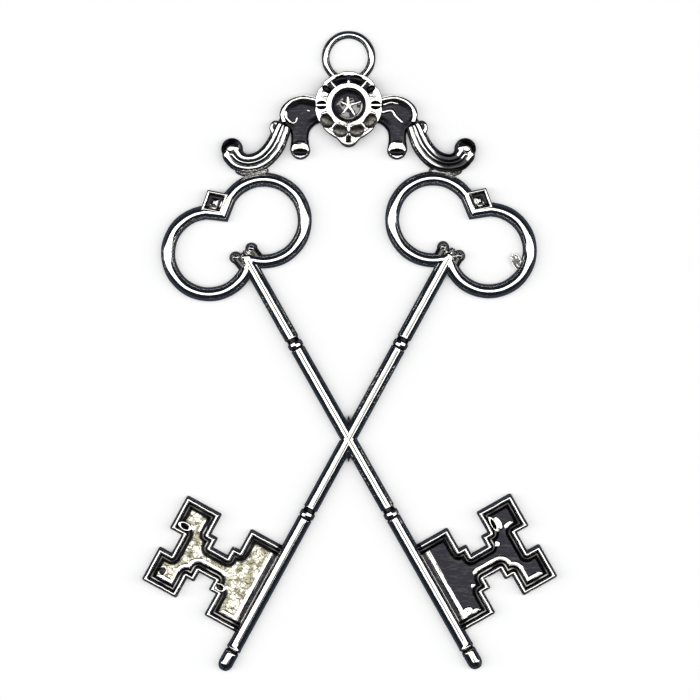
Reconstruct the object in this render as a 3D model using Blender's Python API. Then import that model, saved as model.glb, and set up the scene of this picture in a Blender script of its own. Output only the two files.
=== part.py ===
"""Lodge officer's jewel: two crossed keys under a scrolled arch, a rosette and a hanging ring.

The jewel lies on its flat back. X runs to the right, Y towards the ring and Z out of the face.
The keys, bows, bits, arch and ring are one soldered casting, the rosette sits on a seat in the arch,
and a plain stud with a star on its head goes through both.
"""
import bpy
from math import acos, cos, exp, hypot, pi, radians, sin, sqrt, tau

MM = 0.001

# Keys, measured along each key from the place where the two cross
KEY_TILT = radians(29.1)
KEY_UNEVEN = radians(0.4)
SHANK_WIDTH = 1.82 * MM
SHANK_HEIGHT = 1.65 * MM
TIP_REACH = 33.0 * MM
BOW_REACH = 29.0 * MM
UPPER_COLLAR_AT = 13.5 * MM
LOWER_COLLAR_AT = 10.8 * MM
TIP_GROOVE_BACK = 2.8 * MM
COLLAR_LENGTH = 1.4 * MM
CROSSING_WEB = (1.25 * MM, 2.9 * MM, 0.8 * MM)

# Bows: two round lobes of wire, two small balls and a lozenge
LOBE_RADIUS = 5.12 * MM
LOBE_SPREAD = 4.0 * MM
BOW_WIRE = 1.75 * MM
BOW_HEIGHT = 1.6 * MM
BALL_RADIUS = 0.8 * MM
BALL_SPREAD = 1.14 * MM
BALL_RISE = 0.91 * MM
BALL_HEIGHT = 1.5 * MM
BOW_END = 1.3 * MM
TOOTH_REACH = 0.62 * MM
TOOTH_WIDTH = 1.4 * MM
TOOTH_ROOT = 1.8 * MM
LOZENGE_LONG = 2.08 * MM
LOZENGE_SHORT = 1.78 * MM
LOZENGE_LIFT = 0.03 * MM
LOZENGE_HEIGHT = 1.62 * MM
LOZENGE_FLOOR = 0.95 * MM

# How far the lobes are set off the line of their key: along, across and turned
RIGHT_BOW_SET = (0.14 * MM, -0.07 * MM, radians(0.4))
LEFT_BOW_SET = (-0.1 * MM, 0.22 * MM, radians(1.4))

# Bits: a stepped plate with a raised rim round a sunk floor
BIT_AT = 21.85 * MM
BIT_HALF = 5.9 * MM
BIT_REACH = 14.05 * MM
BIT_WALL = 1.2 * MM
BIT_HEIGHT = 1.5 * MM

# Arch: on each side a leaf curl with a drop, and a ridged scroll that stands on the bow
ARCH_HALF = 15.9 * MM
ARCH_RISE = 8.19 * MM
ARCH_LIFT = 0.13 * MM
SCROLL_WIDTH = 2.45 * MM
SCROLL_HEIGHT = 1.75 * MM
SCROLL_END = 1.35 * MM
SIDE_LOBE = 0.75 * MM
LEAF_HEIGHT = 0.9 * MM
LEAF_RIM = 0.75 * MM
LEAF_RIM_HEIGHT = 1.6 * MM
EYE_RADIUS = 0.8 * MM
DROP_RADIUS = 1.2 * MM
DROP_HEIGHT = 1.55 * MM
SOLDER = (2.1 * MM, 0.8 * MM, 1.0 * MM)

# Ring, seat, rosette and stud
RING_RISE = 6.1 * MM
RING_RADIUS = 2.88 * MM
RING_WIRE = 0.95 * MM
RING_HEIGHT = 0.9 * MM
ROSETTE_RADIUS = 4.25 * MM
ROSETTE_TIP = 0.95 * MM
ROSETTE_THICK = 1.45 * MM
PETALS = 10
RECESS_RADIUS = 2.1 * MM
RECESS_FLOOR = 0.6 * MM
SEAT_TOP = 1.0 * MM
SEAT_RADIUS = 3.4 * MM
FIT_GAP = 0.15 * MM
STUD_TAIL = 0.6 * MM
STUD_EDGE = 0.22 * MM
STAR_HEIGHT = 0.32 * MM
STAR_ARMS = 5

# A small leaf of flash left by the mould inside the right bow
BURR_LENGTH = 2.4 * MM
BURR_AT = (3.45 * MM, -1.5 * MM)
BURR_HEIGHT = 0.6 * MM

# How far every form reaches below the back before the back is cut flat
FOOT = 0.3 * MM
FOOT_STEP = 0.01 * MM

LOBES_TOP = BOW_REACH * cos(KEY_TILT) + LOBE_SPREAD * sin(KEY_TILT) + LOBE_RADIUS + BOW_WIRE / 2
ARCH_BASE = LOBES_TOP + ARCH_LIFT
ROSETTE_Y = ARCH_BASE + ARCH_RISE
RING_Y = ROSETTE_Y + RING_RISE
TOP = RING_Y + RING_RADIUS + RING_WIRE / 2
BOTTOM = -(TIP_REACH - SHANK_WIDTH / 2) * cos(KEY_TILT) - SHANK_WIDTH / 2
CENTRE_Y = (TOP + BOTTOM) / 2

# Half of the bit's outline: shares of its reach from the shank and of its half length
BIT_OUTLINE = [
    (0.0, 1.0), (0.36, 1.0), (0.36, 0.49), (0.432, 0.49), (0.432, 0.264), (0.612, 0.264),
    (0.612, 0.49), (0.683, 0.49), (0.683, 0.975), (1.0, 0.975), (1.0, 0.26), (0.878, 0.26),
]
# From the sloping outer side over the rim to the floor: shares of the wall and of the height
BIT_SECTION = [(-0.2, 0.3), (-0.02, 0.92), (0.08, 1.0), (0.32, 1.0), (0.78, 0.56), (0.86, 0.54), (1.0, 0.36)]
BIT_ROOT_INSET = 0.3
# Shares of the lozenge's half diagonals: top of the rim, inner edge of the rim, floor, pyramid
LOZENGE_RIM = (0.93, 0.74)
LOZENGE_PIT = 0.6
LOZENGE_PYRAMID = 0.36

# Left side of the arch: shares of the half span from the middle and of the rise above the bow tops
LEAF_OUTLINE = [
    (0.24, 1.107), (0.288, 1.13), (0.35, 1.153), (0.413, 1.137), (0.476, 1.084), (0.523, 1.0),
    (0.543, 0.893), (0.535, 0.787), (0.5, 0.695), (0.46, 0.619), (0.452, 0.512), (0.456, 0.421),
    (0.46, 0.329), (0.437, 0.245), (0.382, 0.203), (0.327, 0.23), (0.303, 0.314), (0.311, 0.421),
    (0.315, 0.527), (0.303, 0.634), (0.256, 0.726), (0.178, 0.787), (0.12, 0.95),
]
LEAF_RIM_PATH = [
    (0.24, 1.08, 0.9), (0.288, 1.105, 1.0), (0.35, 1.122, 1.0), (0.41, 1.103, 1.0),
    (0.462, 1.052, 1.0), (0.502, 0.97, 1.0), (0.519, 0.87, 0.95), (0.508, 0.77, 0.8),
]
EYE_AT = (0.429, 0.848)
DROP_AT = (0.38, 0.335)
SCROLL_PATH = [
    (0.5, 0.75, 0.7), (0.526, 0.64, 0.9), (0.55, 0.52, 0.95), (0.58, 0.4, 1.0),
    (0.622, 0.29, 1.0), (0.676, 0.195, 1.0), (0.742, 0.14, 0.98), (0.81, 0.132, 0.96),
    (0.872, 0.175, 1.04), (0.91, 0.26, 1.08),
]
SCROLL_END_AT = (0.917, 0.35)
SIDE_LOBE_AT = (0.575, 0.665)
SOLDER_AT = (0.762, 0.018)
# Across the scroll: shares of the half width and of the height, three ridges
SCROLL_SECTION = [
    (-1.0, 0.35), (-0.82, 0.72), (-0.6, 0.9), (-0.32, 0.7), (0.0, 1.0),
    (0.32, 0.7), (0.6, 0.9), (0.82, 0.72), (1.0, 0.35),
]
# Along a shank round a collar: shares of the collar's length and of the shank's width
COLLAR_SECTION = [(-0.5, 1.0), (-0.32, 0.78), (-0.18, 1.02), (0.18, 1.02), (0.32, 0.78), (0.5, 1.0)]
BURR_OUTLINE = [
    (-0.18, 0.49), (0.08, 0.34), (0.23, 0.08), (0.33, -0.23), (0.3, -0.49),
    (-0.03, -0.34), (-0.23, -0.08), (-0.31, 0.23),
]
# Rosette from its recess to its edge: share of the radius, share of the thickness, petal relief
ROSETTE_SECTION = [
    (0.53, 0.86, 0.0), (0.57, 1.0, 0.0), (0.65, 0.86, 0.0), (0.76, 0.84, 0.14),
    (0.88, 0.72, 0.3), (0.97, 0.52, 0.2), (1.0, 0.34, 0.0),
]


def add_solid(name, rows, wrap=False):
    """Joins rows of points with the same count into one closed skin, capped or wrapped round."""
    count = len(rows[0])
    points = [point for row in rows for point in row]
    faces = []
    for first in range(len(rows) if wrap else len(rows) - 1):
        second = (first + 1) % len(rows)
        for i in range(count):
            j = (i + 1) % count
            faces.append((first * count + i, first * count + j, second * count + j, second * count + i))
    if not wrap:
        faces.append(tuple(reversed(range(count))))
        faces.append(tuple(range((len(rows) - 1) * count, len(rows) * count)))
    mesh = bpy.data.meshes.new(name)
    mesh.from_pydata(points, [], faces)
    mesh.validate()
    solid = bpy.data.objects.new(name, mesh)
    bpy.context.scene.collection.objects.link(solid)
    turn_faces_out(mesh)
    return solid


def turn_faces_out(mesh):
    """Flips the whole skin if the volume that it encloses comes out negative."""
    mesh.calc_loop_triangles()
    volume = 0.0
    for triangle in mesh.loop_triangles:
        a, b, c = (mesh.vertices[i].co for i in triangle.vertices)
        volume += a.dot(b.cross(c))
    if volume < 0:
        mesh.flip_normals()


def half_round(steps, shoulder):
    """Section of a wire with upright sides: shares across and up, from left to right."""
    section = []
    for i in range(steps + 1):
        angle = pi - pi * i / steps
        section.append((cos(angle), shoulder + (1 - shoulder) * sin(angle)))
    return section


def sweep(name, path, section, wrap=False):
    """Carries a section along a flat path of (x, y, width, height) stations."""
    rows = []
    last = len(path) - 1
    for i, (x, y, width, height) in enumerate(path):
        before = path[i - 1] if wrap or i else path[0]
        after = path[(i + 1) % len(path)] if wrap or i < last else path[last]
        run_x, run_y = after[0] - before[0], after[1] - before[1]
        run = hypot(run_x, run_y)
        side_x, side_y = -run_y / run * width / 2, run_x / run * width / 2
        row = [(x - side_x, y - side_y, -FOOT)]
        row += [(x + side_x * across, y + side_y * across, height * up) for across, up in section]
        row.append((x + side_x, y + side_y, -FOOT))
        rows.append(row)
    return add_solid(name, rows, wrap)


def stack(name, outlines):
    """Stacks outlines of (points, z) from the foot to the top."""
    return add_solid(name, [[(x, y, z) for x, y in points] for points, z in outlines])


def oval(centre, across, along, steps):
    """Points round an oval."""
    turns = [tau * i / steps for i in range(steps)]
    return [(centre[0] + across * cos(turn), centre[1] + along * sin(turn)) for turn in turns]


def mound(name, centre, across, along, height, steps=20, levels=5):
    """Low dome on an oval foot with upright sides."""
    outlines = [(oval(centre, across, along, steps), -FOOT)]
    for level in range(levels):
        turn = pi / 2 * level / levels
        share = cos(turn)
        z = height * (0.35 + 0.65 * sin(turn))
        outlines.append((oval(centre, across * share, along * share, steps), z))
    outlines.append((oval(centre, across * 0.06, along * 0.06, steps), height))
    return stack(name, outlines)


def smooth_path(points, steps):
    """Rounds a list of stations with a spline that passes through each of them."""
    ends = [points[0]] + points + [points[-1]]
    rounded = []
    for i in range(1, len(ends) - 2):
        a, b, c, d = ends[i - 1], ends[i], ends[i + 1], ends[i + 2]
        for step in range(steps):
            t = step / steps
            rounded.append(tuple(
                0.5 * (2 * q + (r - p) * t + (2 * p - 5 * q + 4 * r - s) * t * t
                       + (3 * q - p - 3 * r + s) * t ** 3)
                for p, q, r, s in zip(a, b, c, d)))
    rounded.append(points[-1])
    return rounded


def on_key(side, along, across):
    """Place on a key: along it towards the bow, and across it towards the side of its bit."""
    tilt = KEY_TILT - side * KEY_UNEVEN
    x = side * (along * sin(tilt) - across * cos(tilt))
    return x, along * cos(tilt) + across * sin(tilt) - CENTRE_Y


def on_arch(side, shares):
    """Place on the arch from shares of its half span and of its rise."""
    return side * shares[0] * ARCH_HALF, ARCH_BASE + shares[1] * ARCH_RISE - CENTRE_Y


def on_bow(side, along, across):
    """Place on the lobes, which are set a little off the line of their key and turned."""
    shift_along, shift_across, turn = RIGHT_BOW_SET if side > 0 else LEFT_BOW_SET
    from_middle = along - BOW_REACH
    turned_along = from_middle * cos(turn) + across * sin(turn)
    turned_across = across * cos(turn) - from_middle * sin(turn)
    return on_key(side, BOW_REACH + turned_along + shift_along, turned_across + shift_across)


def lobe_meeting():
    """Half the distance between the two places where the lobes of a bow meet."""
    return sqrt(LOBE_RADIUS ** 2 - LOBE_SPREAD ** 2)


def shank(side):
    """Half round rod with two collars and a grooved, rounded tip."""
    stations = []
    tip_round = SHANK_WIDTH / 2
    for i in range(7):
        turn = pi / 2 * (1 - i / 6) * 0.94
        stations.append((-TIP_REACH + tip_round * (1 - sin(turn)), cos(turn), 0.4 + 0.6 * cos(turn)))
    for place in (TIP_GROOVE_BACK - TIP_REACH, -LOWER_COLLAR_AT, UPPER_COLLAR_AT):
        for along, size in COLLAR_SECTION:
            stations.append((place + along * COLLAR_LENGTH, size, size))
    stations.append((BOW_REACH - lobe_meeting(), 1.0, 0.95))
    path = [on_key(side, u, 0.0) + (SHANK_WIDTH * w, SHANK_HEIGHT * h) for u, w, h in stations]
    return sweep("shank", path, half_round(10, 0.35))


def on_lobe(side, hand, turn):
    """Place on the wire of a lobe, turned from the axis between the lobes."""
    across = hand * (LOBE_SPREAD - LOBE_RADIUS * cos(turn))
    return on_bow(side, BOW_REACH + LOBE_RADIUS * sin(turn), across)


def bow(side):
    """Two lobes of wire from the notch at the lozenge round to the shank, with balled ends."""
    notch = acos(LOBE_SPREAD / LOBE_RADIUS)
    forms = []
    for hand in (-1, 1):
        start = notch - 0.04 - 0.01 * hand
        turns = [start + (tau - 2 * start) * i / 44 for i in range(45)]
        wire = [on_lobe(side, hand, turn) + (BOW_WIRE, BOW_HEIGHT) for turn in turns]
        forms.append(sweep("lobe", wire, half_round(8, 0.3)))
        ball = on_key(side, BOW_REACH - lobe_meeting() + BALL_RISE, hand * BALL_SPREAD)
        bend = on_lobe(side, hand, tau - notch - 0.32)
        end = [bend + (BOW_END, BALL_HEIGHT * 0.95), ball + (BOW_END * 0.9, BALL_HEIGHT * 0.9)]
        forms.append(sweep("bow_end", end, half_round(6, 0.3)))
        forms.append(mound("ball", ball, BALL_RADIUS, BALL_RADIUS, BALL_HEIGHT, 16, 4))
    forms.append(notch_tooth(side))
    return forms


def notch_tooth(side):
    """Blunt corner of metal between the lobes, under the lozenge."""
    notch = BOW_REACH + lobe_meeting()
    side_at, root_at = notch - TOOTH_REACH * 0.76, notch + TOOTH_REACH * 0.35
    corners = [
        (notch - TOOTH_REACH, 0.0), (side_at, TOOTH_WIDTH / 2), (root_at, TOOTH_ROOT / 2),
        (root_at, -TOOTH_ROOT / 2), (side_at, -TOOTH_WIDTH / 2),
    ]
    points = [on_key(side, along, across) for along, across in corners]
    return stack("notch_tooth", [(points, -FOOT), (points, BOW_HEIGHT * 0.72)])


def diamond(side, share):
    """Corners of the lozenge on the notch of a bow, at a share of its half diagonals."""
    middle = BOW_REACH + lobe_meeting() + LOZENGE_SHORT + LOZENGE_LIFT
    long_way, short_way = LOZENGE_LONG * share, LOZENGE_SHORT * share
    corners = [(middle + short_way, 0.0), (middle, long_way), (middle - short_way, 0.0), (middle, -long_way)]
    return [on_key(side, u, v) for u, v in corners]


def lozenge(side):
    """Block of the lozenge with its outer edge bevelled."""
    rim = diamond(side, LOZENGE_RIM[0])
    edge = diamond(side, 1.0)
    return stack("lozenge", [(edge, -FOOT), (edge, LOZENGE_HEIGHT * 0.8), (rim, LOZENGE_HEIGHT)])


def lozenge_pit(side):
    """Cutter for the sunk floor of the lozenge, with sloping sides."""
    over = 2 * LOZENGE_HEIGHT - LOZENGE_FLOOR
    wide = 2 * LOZENGE_RIM[1] - LOZENGE_PIT
    return stack("pit", [(diamond(side, LOZENGE_PIT), LOZENGE_FLOOR), (diamond(side, wide), over)])


def lozenge_pyramid(side):
    """Small pyramid that stands on the floor of the lozenge."""
    foot, point = diamond(side, LOZENGE_PYRAMID), diamond(side, 0.03)
    root = (foot, LOZENGE_FLOOR - FOOT)
    return stack("pyramid", [root, (foot, LOZENGE_FLOOR + FOOT_STEP), (point, LOZENGE_HEIGHT * 0.93)])


def inset_outline(points, distance):
    """Moves every edge of a square-cornered outline inwards; the root edge moves less."""
    count = len(points)
    moved = []
    for i, (x, y) in enumerate(points):
        shift_x, shift_y = 0.0, 0.0
        for a, b in ((points[i - 1], points[i]), (points[i], points[(i + 1) % count])):
            run_x, run_y = b[0] - a[0], b[1] - a[1]
            run = hypot(run_x, run_y)
            size = distance * (BIT_ROOT_INSET if a[0] == b[0] == points[0][0] else 1.0)
            shift_x += run_y / run * size
            shift_y -= run_x / run * size
        moved.append((x + shift_x, y + shift_y))
    return moved


def bit(side):
    """Stepped plate of the key with a raised rim, sloping walls and a sunk floor."""
    half = [(reach * BIT_REACH, along * BIT_HALF) for reach, along in BIT_OUTLINE]
    outline = half + [(reach, -along) for reach, along in reversed(half)]
    outlines = []
    for wall, up in [(BIT_SECTION[0][0], -FOOT / BIT_HEIGHT)] + BIT_SECTION:
        points = inset_outline(outline, wall * BIT_WALL)
        outlines.append(([on_key(side, -BIT_AT + y, x) for x, y in points], BIT_HEIGHT * up))
    return stack("bit", outlines)


def half_arch(side):
    """Leaf curl with its rim, eye and drop, and the ridged scroll with its curled end."""
    leaf_points = [on_arch(side, point) for point in LEAF_OUTLINE]
    forms = [stack("leaf", [(leaf_points, -FOOT), (leaf_points, LEAF_HEIGHT)])]
    rim = [on_arch(side, (x, y)) + (LEAF_RIM * w, LEAF_RIM_HEIGHT * w) for x, y, w in LEAF_RIM_PATH]
    forms.append(sweep("leaf_rim", smooth_path(rim, 3), half_round(6, 0.4)))
    forms.append(mound("eye", on_arch(side, EYE_AT), EYE_RADIUS, EYE_RADIUS, LEAF_RIM_HEIGHT, 14, 4))
    forms.append(mound("drop", on_arch(side, DROP_AT), DROP_RADIUS, DROP_RADIUS, DROP_HEIGHT, 18, 4))
    path = [on_arch(side, (x, y)) + (SCROLL_WIDTH * w, SCROLL_HEIGHT) for x, y, w in SCROLL_PATH]
    forms.append(sweep("scroll", smooth_path(path, 3), SCROLL_SECTION))
    forms.append(mound("curl", on_arch(side, SCROLL_END_AT), SCROLL_END, SCROLL_END, SCROLL_HEIGHT * 1.03))
    lobe = on_arch(side, SIDE_LOBE_AT)
    forms.append(mound("side_lobe", lobe, SIDE_LOBE, SIDE_LOBE * 1.3, SCROLL_HEIGHT * 0.8, 14, 4))
    forms.append(mound("solder", on_arch(side, SOLDER_AT), *SOLDER, 16, 4))
    return forms


def hanging_ring():
    """Closed ring of half round wire; its lowest part lies under the rosette."""
    path = [(x, y, RING_WIRE, RING_HEIGHT)
            for x, y in oval((0.0, RING_Y - CENTRE_Y), RING_RADIUS, RING_RADIUS, 48)]
    return sweep("ring", path, half_round(6, 0.3), wrap=True)


def crossing_web():
    """Thin metal left in the corners between the shanks where they cross."""
    across, along, height = CROSSING_WEB
    points = [(across, -CENTRE_Y), (0.0, along - CENTRE_Y), (-across, -CENTRE_Y), (0.0, -along - CENTRE_Y)]
    return stack("web", [(points, -FOOT), (points, height)])


def mould_flash():
    """Small leaf of flash on the inner edge of the right bow's outer lobe."""
    centre_x, centre_y = on_bow(1, BOW_REACH, -LOBE_SPREAD)
    middle = (centre_x + BURR_AT[0], centre_y + BURR_AT[1])
    points = [(middle[0] + x * BURR_LENGTH, middle[1] + y * BURR_LENGTH) for x, y in BURR_OUTLINE]
    return stack("flash", [(points, -FOOT), (points, BURR_HEIGHT)])


def round_bar(name, centre, radius, low, high, steps=48):
    """Plain upright cylinder."""
    points = oval(centre, radius, radius, steps)
    return stack(name, [(points, low), (points, high)])


def combine(target, others, operation):
    """Applies one Boolean step with all the other solids to the target and takes them away."""
    tools = bpy.data.collections.new("tools")
    for other in others:
        other.hide_render = True
        other.display_type = "WIRE"
        tools.objects.link(other)
    step = target.modifiers.new("combine", "BOOLEAN")
    step.operation = operation
    step.solver = "EXACT"
    step.operand_type = "COLLECTION"
    step.collection = tools
    bpy.context.view_layer.update()
    evaluated = target.evaluated_get(bpy.context.evaluated_depsgraph_get())
    result = bpy.data.meshes.new_from_object(evaluated)
    target.modifiers.clear()
    target.data = result
    for other in others:
        bpy.data.objects.remove(other)
    bpy.data.collections.remove(tools)


def sink_feet(forms):
    """Lets each form's foot go a little deeper than the last, so that no two share a plane."""
    for depth, form in enumerate(forms):
        for vertex in form.data.vertices:
            if vertex.co.z < 0:
                vertex.co.z -= depth * FOOT_STEP


def build_frame():
    """The soldered casting: everything except the rosette and its stud."""
    centre = (0.0, ROSETTE_Y - CENTRE_Y)
    forms = []
    for side in (1, -1):
        forms.append(shank(side))
        forms += bow(side)
        forms.append(lozenge(side))
        forms.append(bit(side))
        forms += half_arch(side)
    forms += [crossing_web(), mould_flash(), hanging_ring()]
    forms.append(round_bar("seat", centre, SEAT_RADIUS, -FOOT, SEAT_TOP + FIT_GAP))
    sink_feet(forms)
    frame = forms[0]
    combine(frame, forms[1:], "UNION")
    size = TOP - BOTTOM
    corners = [(-size, -size), (size, -size), (size, size), (-size, size)]
    clear = ROSETTE_RADIUS + FIT_GAP
    bore = STUD_TAIL + FIT_GAP
    combine(frame, [lozenge_pit(1), lozenge_pit(-1)], "DIFFERENCE")
    combine(frame, [lozenge_pyramid(1), lozenge_pyramid(-1)], "UNION")
    for cutter in (
        stack("back_cut", [(corners, -size), (corners, 0.0)]),
        round_bar("seat_cut", centre, clear, SEAT_TOP, size, 72),
        round_bar("bore_cut", centre, bore, -size, size, 32),
    ):
        combine(frame, [cutter], "DIFFERENCE")
    return frame


def petal_notch(turn):
    """One in the middle of the gap between two petals, nought on the petals."""
    return max(0.0, cos(PETALS * turn)) ** 1.5


def rosette_line(turn, share):
    """Radius of a line round the rosette: towards the edge it gets dents and a tip at the bottom."""
    away = abs((turn - 1.5 * pi + pi) % tau - pi)
    dent = 0.03 * petal_notch(turn) * share
    return ROSETTE_RADIUS * share * (1 - dent) + ROSETTE_TIP * share ** 4 * exp(-(away / 0.3) ** 2)


def round_points(centre, steps, radius_at, z_at):
    """One ring of points whose radius and height may change round the turn."""
    ring = []
    for i in range(steps):
        turn = tau * i / steps
        radius = radius_at(turn)
        ring.append((centre[0] + radius * cos(turn), centre[1] + radius * sin(turn), z_at(turn)))
    return ring


def build_rosette():
    """Ten petals round a raised ring, with a sunk floor and a bore for the stud."""
    centre = (0.0, ROSETTE_Y - CENTRE_Y)
    low = SEAT_TOP + FIT_GAP
    floor = low + RECESS_FLOOR
    bore = STUD_TAIL + FIT_GAP
    steps = PETALS * 8
    rows = [
        round_points(centre, steps, lambda turn: bore, lambda turn: low),
        round_points(centre, steps, lambda turn: bore, lambda turn: floor),
        round_points(centre, steps, lambda turn: RECESS_RADIUS, lambda turn: floor),
    ]
    for share, up, relief in ROSETTE_SECTION:
        rows.append(round_points(
            centre, steps, lambda turn: rosette_line(turn, share),
            lambda turn: low + ROSETTE_THICK * (up - relief * petal_notch(turn))))
    rows.append(round_points(centre, steps, lambda turn: rosette_line(turn, 1.0), lambda turn: low))
    return add_solid("rosette", rows, wrap=True)


def star(turn):
    """One along each arm of the star, nought between the arms."""
    return max(0.0, cos(STAR_ARMS * (turn - pi / 2))) ** 2


def build_stud():
    """Plain tail through rosette and seat, and a round head with a raised star."""
    centre = (0.0, ROSETTE_Y - CENTRE_Y)
    under = SEAT_TOP + FIT_GAP + RECESS_FLOOR + FIT_GAP
    head = RECESS_RADIUS - FIT_GAP
    top = under + STUD_EDGE
    steps = STAR_ARMS * 10
    rows = [
        round_points(centre, steps, lambda turn: STUD_TAIL, lambda turn: 0.0),
        round_points(centre, steps, lambda turn: STUD_TAIL, lambda turn: under),
        round_points(centre, steps, lambda turn: head, lambda turn: under),
        round_points(centre, steps, lambda turn: head, lambda turn: top),
    ]
    for share, relief in ((0.86, 0.1), (0.7, 0.55), (0.4, 0.9)):
        rows.append(round_points(
            centre, steps, lambda turn: head * share,
            lambda turn: top + STAR_HEIGHT * relief * star(turn)))
    rows.append(round_points(centre, steps, lambda turn: head * 0.16, lambda turn: top + STAR_HEIGHT))
    return add_solid("rosette_stud", rows)


def give_metal(part, colour, roughness):
    """Plated metal of one colour."""
    metal = bpy.data.materials.new(part.name + "_metal")
    metal.use_nodes = True
    shader = metal.node_tree.nodes["Principled BSDF"]
    shader.inputs["Base Color"].default_value = (*colour, 1.0)
    shader.inputs["Metallic"].default_value = 1.0
    shader.inputs["Roughness"].default_value = roughness
    part.data.materials.clear()
    part.data.materials.append(metal)
    for face in part.data.polygons:
        face.use_smooth = True


def centre_on_origin(parts):
    """Moves all the parts together until the middle of their outline is over the origin."""
    points = [vertex.co for part in parts for vertex in part.data.vertices]
    middle_x = (max(point.x for point in points) + min(point.x for point in points)) / 2
    middle_y = (max(point.y for point in points) + min(point.y for point in points)) / 2
    for point in points:
        point.x -= middle_x
        point.y -= middle_y


def main():
    """Builds the three parts in an empty scene."""
    for thing in list(bpy.data.objects):
        bpy.data.objects.remove(thing)
    frame = build_frame()
    frame.name = "crossed_keys_frame"
    frame.data.name = frame.name
    rosette = build_rosette()
    stud = build_stud()
    centre_on_origin([frame, rosette, stud])
    give_metal(frame, (0.62, 0.62, 0.63), 0.16)
    give_metal(rosette, (0.68, 0.68, 0.68), 0.2)
    give_metal(stud, (0.4, 0.39, 0.39), 0.35)


main()
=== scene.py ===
# %% [markdown]
# # A lodge officer's jewel, made step by step
# The real object is a flat-backed casting of plated metal: two keys crossed like an X, each with a
# bow of two wire lobes and a stepped bit, an arch of leaves and scrolls that joins the bows, a small
# rosette with a stud in its middle, and a ring to hang it from. It lies face up on pale paper.
#
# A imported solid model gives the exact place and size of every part. This lesson loads it as a fixed
# frame, builds a finer, better finished piece for each area, and lets these pieces stand for the
# plain solids. Sizes here are in millimetres, measured from the place where the two keys cross, and
# they are turned into metres only when a mesh is made.

from math import acos, cos, pi, radians, sin, sqrt, tau

import bmesh
import bpy
import numpy as np
from mathutils import Matrix, Vector
from mathutils.geometry import delaunay_2d_cdt


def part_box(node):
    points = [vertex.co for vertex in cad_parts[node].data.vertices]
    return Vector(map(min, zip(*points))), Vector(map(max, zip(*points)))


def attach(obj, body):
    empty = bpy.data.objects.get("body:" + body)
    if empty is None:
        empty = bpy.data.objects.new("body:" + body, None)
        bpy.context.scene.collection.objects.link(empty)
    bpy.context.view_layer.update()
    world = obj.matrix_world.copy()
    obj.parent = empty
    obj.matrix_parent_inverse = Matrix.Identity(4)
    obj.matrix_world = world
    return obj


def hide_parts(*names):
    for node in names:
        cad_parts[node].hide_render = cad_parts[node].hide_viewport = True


MM = 0.001
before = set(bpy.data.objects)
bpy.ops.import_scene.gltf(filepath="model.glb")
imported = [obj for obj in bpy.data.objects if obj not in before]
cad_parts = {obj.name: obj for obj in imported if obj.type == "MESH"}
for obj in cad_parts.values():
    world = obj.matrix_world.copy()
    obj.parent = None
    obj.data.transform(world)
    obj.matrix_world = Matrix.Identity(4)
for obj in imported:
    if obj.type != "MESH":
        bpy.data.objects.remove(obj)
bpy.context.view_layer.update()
print("solid parts:", sorted(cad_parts))

# %% [markdown]
# ## Where things are
# A jeweller sets out such a piece from two centre lines, one along each key. The same is done here:
# a place on a key is a distance along it, towards its bow, and a distance across it, towards its
# bit. The right key has its bow at the upper right. Places on the arch are shares of its half span
# and of its rise above the tops of the bows.

# %% Centre lines of the keys and of the arch
KEY_TILT = radians(29.1)
KEY_UNEVEN = radians(0.4)
BOW_REACH, LOBE_RADIUS, LOBE_SPREAD = 29.0, 5.12, 4.0
BOW_WIRE, BOW_HEIGHT = 1.75, 1.6
BOW_SET = {1: (0.14, -0.07, radians(0.4)), -1: (-0.1, 0.22, radians(1.4))}
ARCH_HALF, ARCH_RISE, ARCH_LIFT = 15.9, 8.19, 0.13
RING_RISE = 6.1
SIDES = {1: "right", -1: "left"}

LOBES_TOP = BOW_REACH * cos(KEY_TILT) + LOBE_SPREAD * sin(KEY_TILT) + LOBE_RADIUS + BOW_WIRE / 2
ARCH_BASE = LOBES_TOP + ARCH_LIFT
ROSETTE_RISE = ARCH_BASE + ARCH_RISE
stud_low, stud_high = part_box("rosette_stud")
CROSSING = ((stud_low.x + stud_high.x) / 2 / MM, (stud_low.y + stud_high.y) / 2 / MM - ROSETTE_RISE)


def on_key(side, along, across):
    """Place on a key, from the crossing."""
    tilt = KEY_TILT - side * KEY_UNEVEN
    x = side * (along * sin(tilt) - across * cos(tilt))
    return x, along * cos(tilt) + across * sin(tilt)


def key_measures(side, x, y):
    """The same the other way round: how far along and across a key a place is."""
    tilt = KEY_TILT - side * KEY_UNEVEN
    return side * x * sin(tilt) + y * cos(tilt), y * sin(tilt) - side * x * cos(tilt)


def on_bow(side, along, across):
    """Place on the lobes, which are set a little off the line of their key and turned."""
    shift_along, shift_across, turn = BOW_SET[side]
    from_middle = along - BOW_REACH
    turned_along = from_middle * cos(turn) + across * sin(turn)
    turned_across = across * cos(turn) - from_middle * sin(turn)
    return on_key(side, BOW_REACH + turned_along + shift_along, turned_across + shift_across)


def on_arch(side, shares):
    """Place on the arch from shares of its half span and of its rise."""
    return side * shares[0] * ARCH_HALF, ARCH_BASE + shares[1] * ARCH_RISE


print("the keys cross at", [round(value, 3) for value in CROSSING], "mm")

# %% [markdown]
# ## The camera, the paper and the light
# The photograph looks straight down on the jewel. What makes plated metal look like metal is what
# it mirrors: here one long soft light overhead, which runs from left to right, and darkness beside
# it. A wire then shows a bright line along its crest and black flanks. The camera itself stands
# before the light and shows as a small dark spot, which is why the flat places of the jewel look
# dark. A dark disc over the camera does that here. The disc and the paper are the stage: they are
# not part of the jewel.

# %% Camera
CAMERA_HEIGHT = 0.35
FRAME_WIDTH = 0.08743
RELIEF_MIDDLE = 0.001


def new_object(name, data, place=(0.0, 0.0, 0.0)):
    """Puts an object with this data into the scene."""
    thing = bpy.data.objects.new(name, data)
    thing.location = place
    bpy.context.scene.collection.objects.link(thing)
    return thing


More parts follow.
